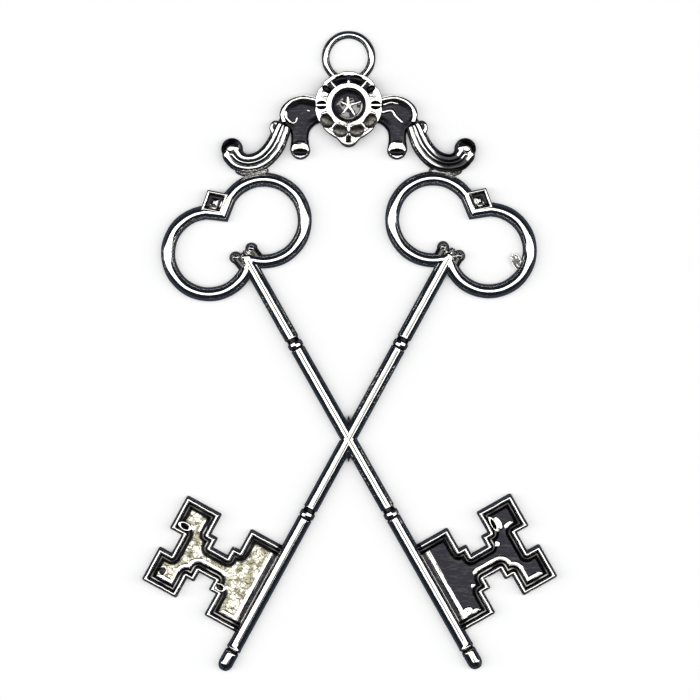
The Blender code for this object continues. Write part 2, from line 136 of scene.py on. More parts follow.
camera_data = bpy.data.cameras.new("camera")
camera_data.sensor_width = 36.0
camera_data.lens = camera_data.sensor_width * CAMERA_HEIGHT / FRAME_WIDTH
camera_data.clip_start, camera_data.clip_end = 0.01, 20.0
bpy.context.scene.camera = new_object("camera", camera_data, (0.00005, 0.00012, RELIEF_MIDDLE + CAMERA_HEIGHT))
bpy.context.scene.view_settings.view_transform = "Standard"
bpy.context.scene.view_settings.look = "None"
print("lens:", round(camera_data.lens, 1), "mm")

# %% [markdown]
# Materials, the room and the repeating forms are all trees of nodes. A few helpers keep them short:
# one feeds the inputs of a node, where a socket is linked and anything else is a constant, and the
# others add a node, a sum or a colour mix and give back what comes out of it.

# %% Node helpers
def feed(tree, node, inputs):
    """Sets the inputs of a node: a socket is linked, anything else is a constant."""
    for key, value in inputs.items():
        if isinstance(value, bpy.types.NodeSocket):
            tree.links.new(value, node.inputs[key])
        else:
            node.inputs[key].default_value = value


def add_node(tree, kind, inputs=(), **settings):
    """Adds a node, sets its options and inputs, and gives its outputs."""
    node = tree.nodes.new(kind)
    for key, value in settings.items():
        setattr(node, key, value)
    feed(tree, node, dict(inputs))
    return node.outputs


def arithmetic(tree, operation, *values, clamp=False):
    """A Math node; each value is a socket or a number."""
    return add_node(tree, "ShaderNodeMath", enumerate(values), operation=operation, use_clamp=clamp)[0]


def blend_colour(tree, share, first, second):
    """A colour mix; first and second are sockets or colours."""
    return add_node(tree, "ShaderNodeMix", {0: share, 6: first, 7: second}, data_type="RGBA")[2]


def plain_finish(name, inputs):
    """A material with only a few set inputs, for the stage."""
    finish = bpy.data.materials.new(name)
    finish.use_nodes = True
    feed(finish.node_tree, finish.node_tree.nodes["Principled BSDF"], inputs)
    return finish


def stage_card(name, corners, finish):
    """One flat face of the stage, in metres."""
    mesh = bpy.data.meshes.new(name)
    mesh.from_pydata(corners, [], [tuple(range(len(corners)))])
    mesh.materials.append(finish)
    card = new_object(name, mesh)
    return card


# %% Soft light overhead and a dark disc behind the camera
LIGHT_HEIGHT = 0.8
LIGHT_LONG, LIGHT_WIDE = 7.0, 0.54
light_data = bpy.data.lights.new("long_soft_light", "AREA")
light_data.shape = "RECTANGLE"
light_data.size, light_data.size_y = LIGHT_LONG, LIGHT_WIDE
light_data.energy, light_data.color = 31.0, (1.0, 0.985, 0.95)
new_object("long_soft_light", light_data, (0.0, 0.0, LIGHT_HEIGHT))

DISC_HEIGHT, DISC_RADIUS, DISC_STEPS = 0.42, 0.03, 48
camera_back = stage_card(
    "camera_back",
    [(DISC_RADIUS * cos(tau * i / DISC_STEPS), DISC_RADIUS * sin(tau * i / DISC_STEPS), DISC_HEIGHT)
     for i in reversed(range(DISC_STEPS))],
    plain_finish("black_card", {"Base Color": (0.003, 0.003, 0.005, 1.0), "Specular IOR Level": 0.0}))
camera_back.visible_camera = camera_back.visible_shadow = camera_back.visible_diffuse = False

# %% Dim room and pale paper
room = bpy.data.worlds.new("room")
room.use_nodes = True
bpy.context.scene.world = room
room_tree = room.node_tree
mirrored_room = room_tree.nodes["Background"]
feed(room_tree, mirrored_room, {"Color": (0.012, 0.016, 0.026, 1.0)})
seen_room = add_node(room_tree, "ShaderNodeBackground", {"Color": (0.85, 0.87, 0.9, 1.0)})[0]
ray = add_node(room_tree, "ShaderNodeLightPath")
# The camera sees the pale room in full; soft light from it counts for a third
seen_share = arithmetic(room_tree, "MULTIPLY_ADD", ray["Is Diffuse Ray"], 0.3, ray["Is Camera Ray"])
room_mix = add_node(room_tree, "ShaderNodeMixShader", {0: seen_share, 1: mirrored_room.outputs[0], 2: seen_room})
feed(room_tree, room_tree.nodes["World Output"], {"Surface": room_mix[0]})

PAPER_HALF = 2.5
pale_paper = plain_finish("pale_paper", {"Roughness": 0.9, "Specular IOR Level": 0.1})
paper_tree = pale_paper.node_tree
# What the metal mirrors of the paper is dark, as in the photograph, where the flanks stay black
paper_colour = blend_colour(paper_tree, add_node(paper_tree, "ShaderNodeLightPath")["Is Glossy Ray"],
                            (0.92, 0.925, 0.94, 1.0), (0.035, 0.042, 0.06, 1.0))
feed(paper_tree, paper_tree.nodes["Principled BSDF"], {"Base Color": paper_colour})
stage_card("paper", [(-PAPER_HALF, -PAPER_HALF, 0), (PAPER_HALF, -PAPER_HALF, 0), (PAPER_HALF, PAPER_HALF, 0),
                     (-PAPER_HALF, PAPER_HALF, 0)], pale_paper)

# %% [markdown]
# ## Metal
# Plated castings have one finish in three states. The high, rubbed places are mirror bright with
# fine hairline scratches. The low places keep a thin dull film, and its dark colour is also painted
# on crests, necks, walls and flat faces as painted shade. Floors that the polisher's wheel never
# reached stay as they came from the mould, grainy and a little yellow. Steep flanks have patches of
# fine pits. Scratches, film and painted shade, grain and pits are each a small node group, so that
# every material can use them at its own strength.

# %% Hairline scratches
def new_tree(name, inputs, outputs, kind="ShaderNodeTree"):
    """A node tree whose named inputs and outputs have the given kinds of socket; gives its inputs too."""
    tree = bpy.data.node_groups.new(name, kind)
    for in_out, sockets in (("INPUT", inputs), ("OUTPUT", outputs)):
        for label, socket in sockets.items():
            tree.interface.new_socket(label, in_out=in_out, socket_type="NodeSocket" + socket)
    return tree, add_node(tree, "NodeGroupInput")


def ramp(tree, value, low, gain):
    """0 up to low, then a rise with this gain up to 1."""
    return arithmetic(tree, "MULTIPLY", arithmetic(tree, "SUBTRACT", value, low), gain, clamp=True)


scratches, given = new_tree("hairline_scratches", {"Place": "Vector", "Fineness": "Float"}, {"Scratch": "Float"})
scratch_sum = 0.0
for turn, scale in ((0.5, 900.0), (-0.6, 1100.0), (1.4, 700.0)):
    stretched = add_node(scratches, "ShaderNodeMapping", {
        "Vector": given["Place"], "Rotation": (0.0, 0.0, turn), "Scale": (scale * 0.12, scale * 7.0, scale)})[0]
    lines = add_node(scratches, "ShaderNodeTexNoise", {
        "Vector": stretched, "Scale": 1.0, "Detail": 2.0, "Roughness": 0.6})["Fac"]
    scratch_sum = arithmetic(scratches, "ADD", scratch_sum, ramp(scratches, lines, 0.56, 9.0), clamp=True)
add_node(scratches, "NodeGroupOutput", {
    "Scratch": arithmetic(scratches, "MULTIPLY", scratch_sum, given["Fineness"], clamp=True)})

# %% Dull film and painted shade
# One share for dull film and painted shade: random clouds of film, and the dark share each piece marks
film_and_shade, given = new_tree("dull_film_and_painted_shade", {"Place": "Vector", "Spread": "Float", "Film_And_Shade_Share": "Float"},
                       {"Film_And_Shade": "Float", "Streaks": "Float"})
cloud = add_node(film_and_shade, "ShaderNodeTexNoise", {
    "Vector": given["Place"], "Scale": 420.0, "Detail": 5.0, "Roughness": 0.65})["Fac"]
cloud = arithmetic(film_and_shade, "MULTIPLY", ramp(film_and_shade, cloud, 0.62, 6.0), given["Spread"], clamp=True)
stretched = add_node(film_and_shade, "ShaderNodeMapping", {
    "Vector": given["Place"], "Rotation": (0.0, 0.0, 0.5), "Scale": (900.0, 4200.0, 900.0)})[0]
streaks = add_node(film_and_shade, "ShaderNodeTexNoise", {
    "Vector": stretched, "Scale": 1.0, "Detail": 3.0, "Roughness": 0.6})["Fac"]
add_node(film_and_shade, "NodeGroupOutput", {"Film_And_Shade": arithmetic(film_and_shade, "MAXIMUM", cloud, given["Film_And_Shade_Share"]),
                                   "Streaks": ramp(film_and_shade, streaks, 0.5, 5.0)})

# %% Mould grain: uneven height, olive spots and dark cracks between the grains
grain, given = new_tree("mould_grain", {"Place": "Vector", "Size": "Float"},
                        {"Height": "Float", "Spots": "Float", "Cracks": "Float"})
fine = add_node(grain, "ShaderNodeTexNoise", {
    "Vector": given["Place"], "Scale": given["Size"], "Detail": 4.0, "Roughness": 0.7})
cells = add_node(grain, "ShaderNodeTexVoronoi", {
    "Vector": given["Place"], "Scale": given["Size"], "Randomness": 1.0})
bend = add_node(grain, "ShaderNodeVectorMath", {0: fine["Color"], "Scale": 0.0006}, operation="SCALE")[0]
bent = add_node(grain, "ShaderNodeVectorMath", {0: bend, 1: given["Place"]}, operation="ADD")[0]
edges = add_node(grain, "ShaderNodeTexVoronoi", {
    "Vector": bent, "Scale": given["Size"], "Randomness": 1.0}, feature="DISTANCE_TO_EDGE")["Distance"]
patches = add_node(grain, "ShaderNodeTexNoise", {
    "Vector": bent, "Scale": arithmetic(grain, "MULTIPLY", given["Size"], 0.62), "Detail": 0.0})["Fac"]
crack = arithmetic(grain, "MULTIPLY", arithmetic(grain, "SUBTRACT", 0.075, edges), 22.0, clamp=True)
add_node(grain, "NodeGroupOutput", {"Height": arithmetic(grain, "ADD", fine["Fac"], cells["Distance"]),
                                    "Spots": ramp(grain, patches, 0.5, 14.0), "Cracks": crack})

# %% Pits on the flanks
pitting, given = new_tree("pitted_flanks", {"Place": "Vector"}, {"Pits": "Float"})
facing = add_node(pitting, "ShaderNodeSeparateXYZ", {
    "Vector": add_node(pitting, "ShaderNodeNewGeometry")["Normal"]})
steep = arithmetic(pitting, "MULTIPLY", arithmetic(pitting, "SUBTRACT", 0.84, facing["Z"]), 8.0, clamp=True)
patches = add_node(pitting, "ShaderNodeTexNoise", {"Vector": given["Place"], "Scale": 130.0, "Detail": 1.0})["Fac"]
spots = add_node(pitting, "ShaderNodeTexNoise", {
    "Vector": given["Place"], "Scale": 3200.0, "Detail": 3.0, "Roughness": 0.6})["Fac"]
pits = arithmetic(pitting, "MULTIPLY", ramp(pitting, patches, 0.5, 9.0), ramp(pitting, spots, 0.5, 7.0))
add_node(pitting, "NodeGroupOutput", {"Pits": arithmetic(pitting, "MULTIPLY", pits, steep)})
print("shared node groups:", scratches.name, film_and_shade.name, grain.name, pitting.name)

# %% [markdown]
# Two attributes of each piece say where its metal is in which state: one is the share of dull film
# and painted shade, and "unpolished" the share of raw floor. The three metals differ in tone and in
# how far the wheel has rubbed them: the frame, the brighter rosette and the darker stud.

# %% The plated metals
# Colours of the dull film and painted shade: dark, and grey in streaks
FILM_AND_SHADE_DARK, FILM_AND_SHADE_GREY = (0.020, 0.0195, 0.025, 1.0), (0.048, 0.046, 0.048, 1.0)
RAW_PALE, RAW_OLIVE, RAW_DARK = (0.86, 0.83, 0.71, 1.0), (0.36, 0.34, 0.25, 1.0), (0.12, 0.11, 0.075, 1.0)
SCRATCH_ROUGH, RAW_ROUGH, PIT_ROUGH = 0.10, 0.3, 0.25
RAW_GRAIN, SCRATCH_DEPTH, PIT_DEPTH = 0.45, 0.02, 2.2


def plated_metal(name, bright, roughness, film_roughness, spread, fineness, grain_size, grain_depth):
    """Mirror plating with scratches, a dull film in low places that also paints shade, and grain where a piece asks
    for it.
    """
    metal = bpy.data.materials.new(name)
    metal.use_nodes = True
    tree = metal.node_tree

    def total(start, *shares):
        """Start plus each share times its strength."""
        for share, strength in shares:
            start = arithmetic(tree, "ADD", start, arithmetic(tree, "MULTIPLY", share, strength))
        return start

    place = add_node(tree, "ShaderNodeTexCoord")["Object"]
    film_and_shade_share = add_node(tree, "ShaderNodeAttribute", attribute_name="film_and_shade_share")["Fac"]
    raw = add_node(tree, "ShaderNodeAttribute", attribute_name="unpolished")["Fac"]
    scratch = add_node(tree, "ShaderNodeGroup", {"Place": place, "Fineness": fineness}, node_tree=scratches)[0]
    film_and_shade_outputs = add_node(tree, "ShaderNodeGroup", {"Place": place, "Spread": spread, "Film_And_Shade_Share": film_and_shade_share},
                        node_tree=film_and_shade)
    skin = add_node(tree, "ShaderNodeGroup", {"Place": place, "Size": grain_size}, node_tree=grain)
    pits = add_node(tree, "ShaderNodeGroup", {"Place": place}, node_tree=pitting)[0]
    # Dull film and painted shade darken the plate where a piece marks them
    film_and_shade_colour = blend_colour(tree, film_and_shade_outputs["Streaks"], FILM_AND_SHADE_DARK, FILM_AND_SHADE_GREY)
    raw_colour = blend_colour(tree, skin["Spots"], RAW_PALE, RAW_OLIVE)
    raw_colour = blend_colour(tree, skin["Cracks"], raw_colour, RAW_DARK)
    colour = blend_colour(tree, raw, blend_colour(tree, film_and_shade_outputs["Film_And_Shade"], bright, film_and_shade_colour), raw_colour)
    gloss = total(roughness, (scratch, SCRATCH_ROUGH), (film_and_shade_outputs["Film_And_Shade"], film_roughness), (raw, RAW_ROUGH),
                  (pits, PIT_ROUGH))
    depth = arithmetic(tree, "MAXIMUM", arithmetic(tree, "MULTIPLY", raw, RAW_GRAIN), grain_depth)
    relief = total(arithmetic(tree, "MULTIPLY", skin["Height"], depth), (scratch, -SCRATCH_DEPTH),
                   (pits, -PIT_DEPTH))
    bump = add_node(tree, "ShaderNodeBump", {"Height": relief, "Strength": 0.5, "Distance": 0.00004})[0]
    feed(tree, tree.nodes["Principled BSDF"], {"Metallic": 1.0, "Base Color": colour, "Roughness": gloss,
                                               "Normal": bump})
    return metal


bright_plate = plated_metal("bright_nickel_plate", (0.80, 0.79, 0.765, 1.0), 0.07, 0.22, 0.35, 0.6, 1500.0, 0.02)
rosette_plate = plated_metal("bright_rosette_plate", (0.84, 0.83, 0.80, 1.0), 0.09, 0.2, 0.3, 0.5, 1600.0, 0.04)
stud_plate = plated_metal("dark_stud_plate", (0.62, 0.61, 0.60, 1.0), 0.12, 0.25, 0.5, 0.5, 1700.0, 0.3)

# %% [markdown]
# ## Wires
# Shanks, bows and the ring are half round: flat below, a low straight side, then a round crest. In
# the workshop that is one section drawn along many lines, so one Geometry Nodes tree does it here.
# Its inputs are the width, the height, how high the straight side goes and how flat the crown is. The
# radius of each point of the line makes the wire thicker or thinner there, which also gives the
# collars and the tips.

# %% The half round wire tree
wire_tree, given = new_tree("half_round_wire", {
    "Line": "Geometry", "Width": "Float", "Height": "Float", "Side": "Float", "Crown": "Float", "Steps": "Int",
    "Metal": "Material"}, {"Wire": "Geometry"}, "GeometryNodeTree")
circle = add_node(wire_tree, "GeometryNodeCurvePrimitiveCircle", {"Resolution": given["Steps"], "Radius": 1.0},
                  mode="RADIUS")[0]
on_circle = add_node(wire_tree, "ShaderNodeSeparateXYZ", {
    "Vector": add_node(wire_tree, "GeometryNodeInputPosition")[0]})
half_width = arithmetic(wire_tree, "MULTIPLY", given["Width"], 0.5)
# The section's own y axis points down once it is on the line, so the upper half is the one below zero
rise = arithmetic(wire_tree, "MULTIPLY", on_circle["Y"], -1.0)
arc = arithmetic(wire_tree, "POWER", arithmetic(wire_tree, "MAXIMUM", rise, 0.0), given["Crown"])
above_side = arithmetic(wire_tree, "MULTIPLY", arc, arithmetic(wire_tree, "SUBTRACT", 1.0, given["Side"]))
top = arithmetic(wire_tree, "MULTIPLY", arithmetic(wire_tree, "ADD", given["Side"], above_side), given["Height"])
upper = arithmetic(wire_tree, "MULTIPLY", arithmetic(wire_tree, "GREATER_THAN", rise, -0.001), -1.0)
section_place = add_node(wire_tree, "ShaderNodeCombineXYZ", {
    "X": arithmetic(wire_tree, "MULTIPLY", on_circle["X"], half_width),
    "Y": arithmetic(wire_tree, "MULTIPLY", top, upper)})[0]
section = add_node(wire_tree, "GeometryNodeSetPosition", {"Geometry": circle, "Position": section_place})[0]
upright = add_node(wire_tree, "GeometryNodeSetCurveNormal", {"Curve": given["Line"]}, mode="Z_UP")[0]
drawn = add_node(wire_tree, "GeometryNodeCurveToMesh", {
    "Curve": upright, "Profile Curve": section, "Scale": add_node(wire_tree, "GeometryNodeInputRadius")[0],
    "Fill Caps": True})[0]
smooth = add_node(wire_tree, "GeometryNodeSetShadeSmooth", {"Geometry": drawn})[0]
real = add_node(wire_tree, "GeometryNodeRealizeInstances", {"Geometry": smooth})[0]
plated = add_node(wire_tree, "GeometryNodeSetMaterial", {"Geometry": real, "Material": given["Metal"]})[0]
add_node(wire_tree, "NodeGroupOutput", {"Wire": plated})


def run_tree(name, tree, data, settings):
    """Runs a Geometry Nodes tree on a curve or mesh, with its named inputs set, and gives a plain mesh."""
    source = new_object(name + "_source", data)
    modifier = source.modifiers.new(tree.name, "NODES")
    modifier.node_group = tree
    for socket in tree.interface.items_tree:
        if socket.name in settings:
            modifier[socket.identifier] = settings[socket.name]
    mesh = bpy.data.meshes.new_from_object(source.evaluated_get(bpy.context.evaluated_depsgraph_get()))
    mesh.name = name
    bpy.data.objects.remove(source)
    if not mesh.materials:
        mesh.materials.append(settings["Metal"])
    return mesh


# %% [markdown]
# Every piece ends in the same way: its faces turn outward, only its steep edges stay sharp, it rides on
# the fixed frame, stands for one of the solid parts and belongs to one finish.

# %% From a mesh to a finished piece
def take_place(piece, node):
    """Rides on the fixed frame and stands for a solid part, whose plain form is hidden."""
    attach(piece, "root")
    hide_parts(node)
    print(f"{piece.name}: {len(piece.data.polygons)} faces")


def tidy_mesh(mesh, sharp=50.0, cut=None):
    """Turns all faces outward and keeps only the steep edges sharp.

    A cut is an upright plane through its first place; the side its second row points to is kept."""
    work = bmesh.new()
    work.from_mesh(mesh)
    if cut:
        at, keep = cut
        bmesh.ops.bisect_plane(work, geom=work.verts[:] + work.edges[:] + work.faces[:], plane_co=in_metres(*at, 0.0),
                               plane_no=(-keep[0], -keep[1], 0.0), clear_outer=True)
        bmesh.ops.holes_fill(work, edges=[edge for edge in work.edges if edge.is_boundary], sides=0)
    bmesh.ops.recalc_face_normals(work, faces=work.faces)
    work.to_mesh(mesh)
    work.free()
    mesh.shade_smooth()
    mesh.set_sharp_from_angle(angle=radians(sharp))


def in_metres(x, y, z):
    """A place in mm from the crossing as a place in the scene."""
    return (x + CROSSING[0]) * MM, (y + CROSSING[1]) * MM, z * MM


def solid_from(name, points, faces, metal, sharp=50.0):
    """Makes a finished object from points in mm from the crossing."""
    mesh = bpy.data.meshes.new(name)
    mesh.from_pydata([in_metres(*point) for point in points], [], faces)
    mesh.materials.append(metal)
    tidy_mesh(mesh, sharp)
    return new_object(name, mesh)


def write_marks(piece, marks):
    """Writes attributes, a value from 0 to 1 for each vertex."""
    for label, values in marks.items():
        layer = piece.data.attributes.new(label, "FLOAT", "POINT")
        layer.data.foreach_set("value", np.clip(values, 0.0, 1.0))


def draw_wire(name, points, width, height, side, metal=bright_plate, thick=None, closed=False, steps=48, cut=None,
              film_and_shade=None, crown=1.0):
    """A wire along points in mm from the crossing; thick scales the section at each point.

    A crown of 1 is a round section, and a lower one is flatter on top with fuller shoulders."""
    line = bpy.data.curves.new(name + "_line", "CURVE")
    line.dimensions = "3D"
    run = line.splines.new("POLY")
    run.points.add(len(points) - 1)
    run.use_cyclic_u = closed
    for place, (x, y) in enumerate(points):
        run.points[place].co = (*in_metres(x, y, 0.0), 1.0)
        run.points[place].radius = 1.0 if thick is None else thick[place]
    mesh = run_tree(name, wire_tree, line, {"Width": width * MM, "Height": height * MM, "Side": side,
                                            "Crown": crown, "Steps": steps, "Metal": metal})
    tidy_mesh(mesh, cut=cut)
    wire = new_object(name, mesh)
    if film_and_shade:
        spots = np.empty(len(mesh.vertices) * 3)
        mesh.vertices.foreach_get("co", spots)
        spots = spots.reshape(-1, 3) / MM
        write_marks(wire, {"film_and_shade_share": film_and_shade(spots[:, 0] - CROSSING[0], spots[:, 1] - CROSSING[1])})
    return wire


# %% Curves by share and by line
def ease_between(value, low, high):
    """0 below low, 1 above high, with an even curve between."""
    share = np.clip((value - low) / (high - low), 0.0, 1.0)
    return share * share * (3.0 - 2.0 * share)


def rounder_line(points, steps=8):
    """A rounder line through the given rows (Catmull-Rom), any number of columns."""
    rows = np.array(points, dtype=float)
    padded = np.vstack([2 * rows[0] - rows[1], rows, 2 * rows[-1] - rows[-2]])
    result = []
    for place in range(1, len(rows)):
        before, start, end, after = padded[place - 1:place + 3]
        for share in np.arange(steps) / steps:
            result.append(0.5 * (2 * start + (end - before) * share
                                 + (2 * before - 5 * start + 4 * end - after) * share ** 2
                                 + (3 * start - before - 3 * end + after) * share ** 3))
    return np.array(result + [rows[-1]])


# %% [markdown]
# ## Shanks
# A shank is one bar with a rounded tip, a groove near it, and two collars, one above and one below the
# crossing. A collar is one bead between two cut grooves. The grooves are painted dark with dull film and
# painted shade, and a thin dark line along the crest is a painted reflection. A little unevenness along
# the bar comes from filing the casting by hand.

# %% Shanks with collars and tips
SHANK_WIDTH, SHANK_HEIGHT, SHANK_SIDE = 1.82, 1.65, 0.35
SHANK_CROWN = 0.7
TIP_REACH, TIP_GROOVE_BACK, TIP_ROUND, TIP_START = 33.0, 2.8, 1.1, 0.01
TIP_GROOVE_AT = TIP_GROOVE_BACK - TIP_REACH
LOBE_MEETING = sqrt(LOBE_RADIUS ** 2 - LOBE_SPREAD ** 2)
SHANK_END = BOW_REACH - LOBE_MEETING
COLLARS_AT = (13.5, -10.8)
# From the tip's side to the bow's side of a collar: distances in mm and how much the bar swells there
BEAD_AT = (-0.62, -0.54, -0.42, -0.3, 0.0, 0.3, 0.42, 0.8, 0.92)
BEAD_SWELL = (0.0, -0.15, -0.16, 0.02, 0.06, 0.03, -0.17, -0.19, 0.0)
# Where on the bar the thin painted dark line runs, a painted reflection, as a share of its half width
DARK_CREST_LINE_AT = {1: -0.15, -1: 0.04}


def shank_thickness(along):
    """Share of the full section at distances along the key, and how much dull film and painted shade lies there."""
    share = np.ones(along.shape)
    film_and_shade = np.zeros(along.shape)
    for middle in COLLARS_AT:
        swell = np.interp(along - middle, BEAD_AT, BEAD_SWELL)
        share, film_and_shade = share + swell, np.maximum(film_and_shade, -swell * 8.0)
    groove = along - TIP_GROOVE_AT
    dip = 0.2 * np.exp(-(groove / 0.17) ** 2)
    share, film_and_shade = share - dip, np.maximum(film_and_shade, dip * 6.0)
    share = share + 0.05 * np.exp(-((groove - 0.35) / 0.16) ** 2)
    end = np.clip(1.0 - (along + TIP_REACH - TIP_START) / TIP_ROUND, 0.0, 1.0)
    share = share * (np.sqrt(1.0 - end ** 2) * 0.93 + 0.07)
    return share + 0.002 * np.sin(along * 2.1) + 0.0015 * np.sin(along * 5.3 + 1.0), np.clip(film_and_shade, 0.0, 1.0)


def shank_stops():
    """Stations along a shank: close together at the tip and the collars, else far apart."""
    stops = list(np.linspace(-TIP_REACH + TIP_START, -TIP_REACH + TIP_ROUND, 22))
    while stops[-1] < SHANK_END:
        near = min(abs(stops[-1] - place) for place in (*COLLARS_AT, TIP_GROOVE_AT))
        stops.append(stops[-1] + (0.05 if near < 1.3 else 0.4))
    return np.array(stops[:-1] + [SHANK_END])


def shank_film_and_shade(side):
    """Dull film and painted shade in the grooves, and the painted dark line along the crest."""
    def film_and_shade(x, y):
        along, across = key_measures(side, x, y)
        line = 1.0 - ease_between(np.abs(across / (SHANK_WIDTH / 2) - DARK_CREST_LINE_AT[side]), 0.05, 0.12)
        for place in (*COLLARS_AT, TIP_GROOVE_AT):
            line = line * ease_between(np.abs(along - place - 0.15), 0.95, 1.15)
        return np.maximum(shank_thickness(along)[1], 0.97 * line)
    return film_and_shade


for side in SIDES:
    stops = shank_stops()
    shank = draw_wire(f"shank_of_the_{SIDES[side]}_key", [on_key(side, a, 0.0) for a in stops],
                      SHANK_WIDTH, SHANK_HEIGHT, SHANK_SIDE, thick=shank_thickness(stops)[0], steps=120,
                      film_and_shade=shank_film_and_shade(side), crown=SHANK_CROWN)
    take_place(shank, "crossed_keys_frame")

# %% [markdown]
# ## Bows
# Each bow is two round wire lobes that open on the key's line, with a ball where they come in to the
# shank. They are cast with the key, but read as bent wire, so they use the same tree.

# %% Lobes, ends and balls of the bows
BALL_RADIUS, BALL_SPREAD, BALL_RISE, BALL_HEIGHT = 0.8, 1.14, 0.91, 1.5
NECK_WIDTH, NECK_HEIGHT, NECK_FILM_AND_SHADE, LOW_SIDE = 1.25, 1.35, 0.9, 0.3
LOBE_NOTCH = acos(LOBE_SPREAD / LOBE_RADIUS)


def on_lobe(side, hand, turn):
    """Place on the middle line of a lobe."""
    return on_bow(side, BOW_REACH + LOBE_RADIUS * sin(turn), hand * (LOBE_SPREAD - LOBE_RADIUS * cos(turn)))


def dome_mesh(name, centre, radius, height, metal=bright_plate, steps=60, levels=20, filed=0.0):
    """A flat-based dome in mm from the crossing; filed makes it a little uneven, as a file leaves it."""
    turn, rise = np.meshgrid(tau * np.arange(steps) / steps, pi / 2 * np.arange(levels) / levels)
    uneven = 1.0 - filed * (1.0 + np.sin(3 * turn + centre[0] * 9) * np.cos(5 * rise + centre[1]))
    out = uneven * radius * np.cos(rise)
    up = height * np.sin(rise) * (1.0 - 0.5 * filed * (1.0 + np.sin(2 * turn + 4 * rise)))
    rows = np.stack([centre[0] + out * np.cos(turn), centre[1] + out * np.sin(turn), up], axis=-1)
    points = [(*centre, 0.0), *rows.reshape(-1, 3), (*centre, height)]
    faces, top = [], len(points) - 1
    for i in range(steps):
        ahead = (i + 1) % steps
        faces += [(0, 1 + ahead, 1 + i), (top - steps + i, top - steps + ahead, top)]
        faces += [(low + i, low + ahead, low + steps + ahead, low + steps + i)
                  for low in range(1, 1 + (levels - 1) * steps, steps)]
    return solid_from(name, points, faces, metal)


def lobe_path(side, hand):
    """Middle line of a lobe, nearly straight into the notch and a little past the key's line at both ends."""
    meet = np.array(on_bow(side, BOW_REACH + LOBE_MEETING + 0.1, 0.0))
    first = np.array(on_lobe(side, hand, LOBE_NOTCH + 0.4))
    past = meet + (meet - first) / np.hypot(*(meet - first)) * 1.5
    turns = np.linspace(LOBE_NOTCH + 0.4, tau - LOBE_NOTCH + 0.2, 44)
    return rounder_line([past, meet] + [on_lobe(side, hand, turn) for turn in turns], 5)


for side in SIDES:
    line_start, line_end = on_bow(side, BOW_REACH, 0.0), on_bow(side, BOW_REACH, 1.0)
    for hand, which in ((1, "first"), (-1, "second")):
        out = [hand * (end - start) for start, end in zip(line_start, line_end)]
        lobe_line = lobe_path(side, hand)
        lobe = draw_wire(f"{which}_lobe_of_the_{SIDES[side]}_bow", lobe_line, BOW_WIRE, BOW_HEIGHT, LOW_SIDE,
                         cut=(line_start, out),
                         thick=[1.0 + 0.01 * sin(place * 0.22 + side + hand) for place in range(len(lobe_line))])
        ball_at = on_key(side, BOW_REACH - LOBE_MEETING + BALL_RISE, hand * BALL_SPREAD)
        ball = dome_mesh(f"ball_of_the_{which}_{SIDES[side]}_lobe", ball_at, BALL_RADIUS, BALL_HEIGHT, filed=0.025)
        # Each neck is painted dark all over with dull film and painted shade
        neck = draw_wire(f"neck_of_the_{which}_{SIDES[side]}_ball",
                         np.linspace(on_lobe(side, hand, tau - LOBE_NOTCH - 0.3), ball_at, 12),
                         NECK_WIDTH, NECK_HEIGHT, LOW_SIDE, film_and_shade=lambda x, y: np.full(x.shape, NECK_FILM_AND_SHADE))
        for piece in (lobe, ball, neck):
            take_place(piece, "crossed_keys_frame")

# %% Hanging ring
RING_RADIUS, RING_WIRE, RING_HEIGHT = 2.88, 0.95, 0.9
ring_turns = np.linspace(0.0, tau, 120, endpoint=False)
ring = draw_wire("hanging_ring", [(RING_RADIUS * cos(t), ROSETTE_RISE + RING_RISE + RING_RADIUS * sin(t))
                                  for t in ring_turns], RING_WIRE, RING_HEIGHT, LOW_SIDE, closed=True,
                 thick=[1.0 + 0.03 * sin(3 * t + 0.4) * sin(5 * t) for t in ring_turns])
take_place(ring, "crossed_keys_frame")

# %% [markdown]
# ## Cast relief
# The bits, the arch, the lozenges and the webs are low relief: a flat back, an outline, and a front
# that rises and falls. A modeller cuts such a front in wax with a few habits: rims with a round top,
# sloping walls, sunk floors, ridges that follow a curved line, and lumps that run into each other.
# The helpers here are those habits. They work on whole fields of places at once and give a height in
# millimetres for each; the last one turns the outline and the heights into a closed mesh.

# %% Distances, ridges and soft joins
# A form that isn't there has this height, so that every soft or hard join with it leaves the other form
FAR_BELOW = -9.0


def nearest_on_path(x, y, path):
    """Signed distance to a line of places (left side positive) and how far along it, in points."""
    best = np.full(x.shape, 1e9)
    signed, along = np.zeros(x.shape), np.zeros(x.shape)
    for place in range(len(path) - 1):
        (ax, ay), (bx, by) = path[place][:2], path[place + 1][:2]
        length = max((bx - ax) ** 2 + (by - ay) ** 2, 1e-12)
        share = np.clip(((x - ax) * (bx - ax) + (y - ay) * (by - ay)) / length, 0.0, 1.0)
        away = np.hypot(x - ax - share * (bx - ax), y - ay - share * (by - ay))
        nearer = away < best
        side_of = (bx - ax) * (y - ay) - (by - ay) * (x - ax)
        best = np.where(nearer, away, best)
        signed = np.where(nearer, np.where(side_of >= 0, away, -away), signed)
        along = np.where(nearer, place + share, along)
    return signed, along


def inside_outline(x, y, outline):
    """Distance to a closed outline, positive inside."""
    closed = [tuple(row[:2]) for row in outline] + [tuple(outline[0][:2])]
    away, _ = nearest_on_path(x, y, closed)
    odd = np.zeros(x.shape, dtype=bool)
    for (ax, ay), (bx, by) in zip(closed[:-1], closed[1:]):
        crosses = (ay > y) != (by > y)
        reach = ax + (y - ay) * (bx - ax) / (by - ay if by != ay else 1e-12)
        odd ^= crosses & (x < reach)
    return np.where(odd, np.abs(away), -np.abs(away))


def oval_share(x, y, oval):
    """1 in the middle of an oval (place and half sizes), 0 on its edge, negative outside."""
    return 1.0 - ((x - oval[0]) / oval[2]) ** 2 - ((y - oval[1]) / oval[3]) ** 2


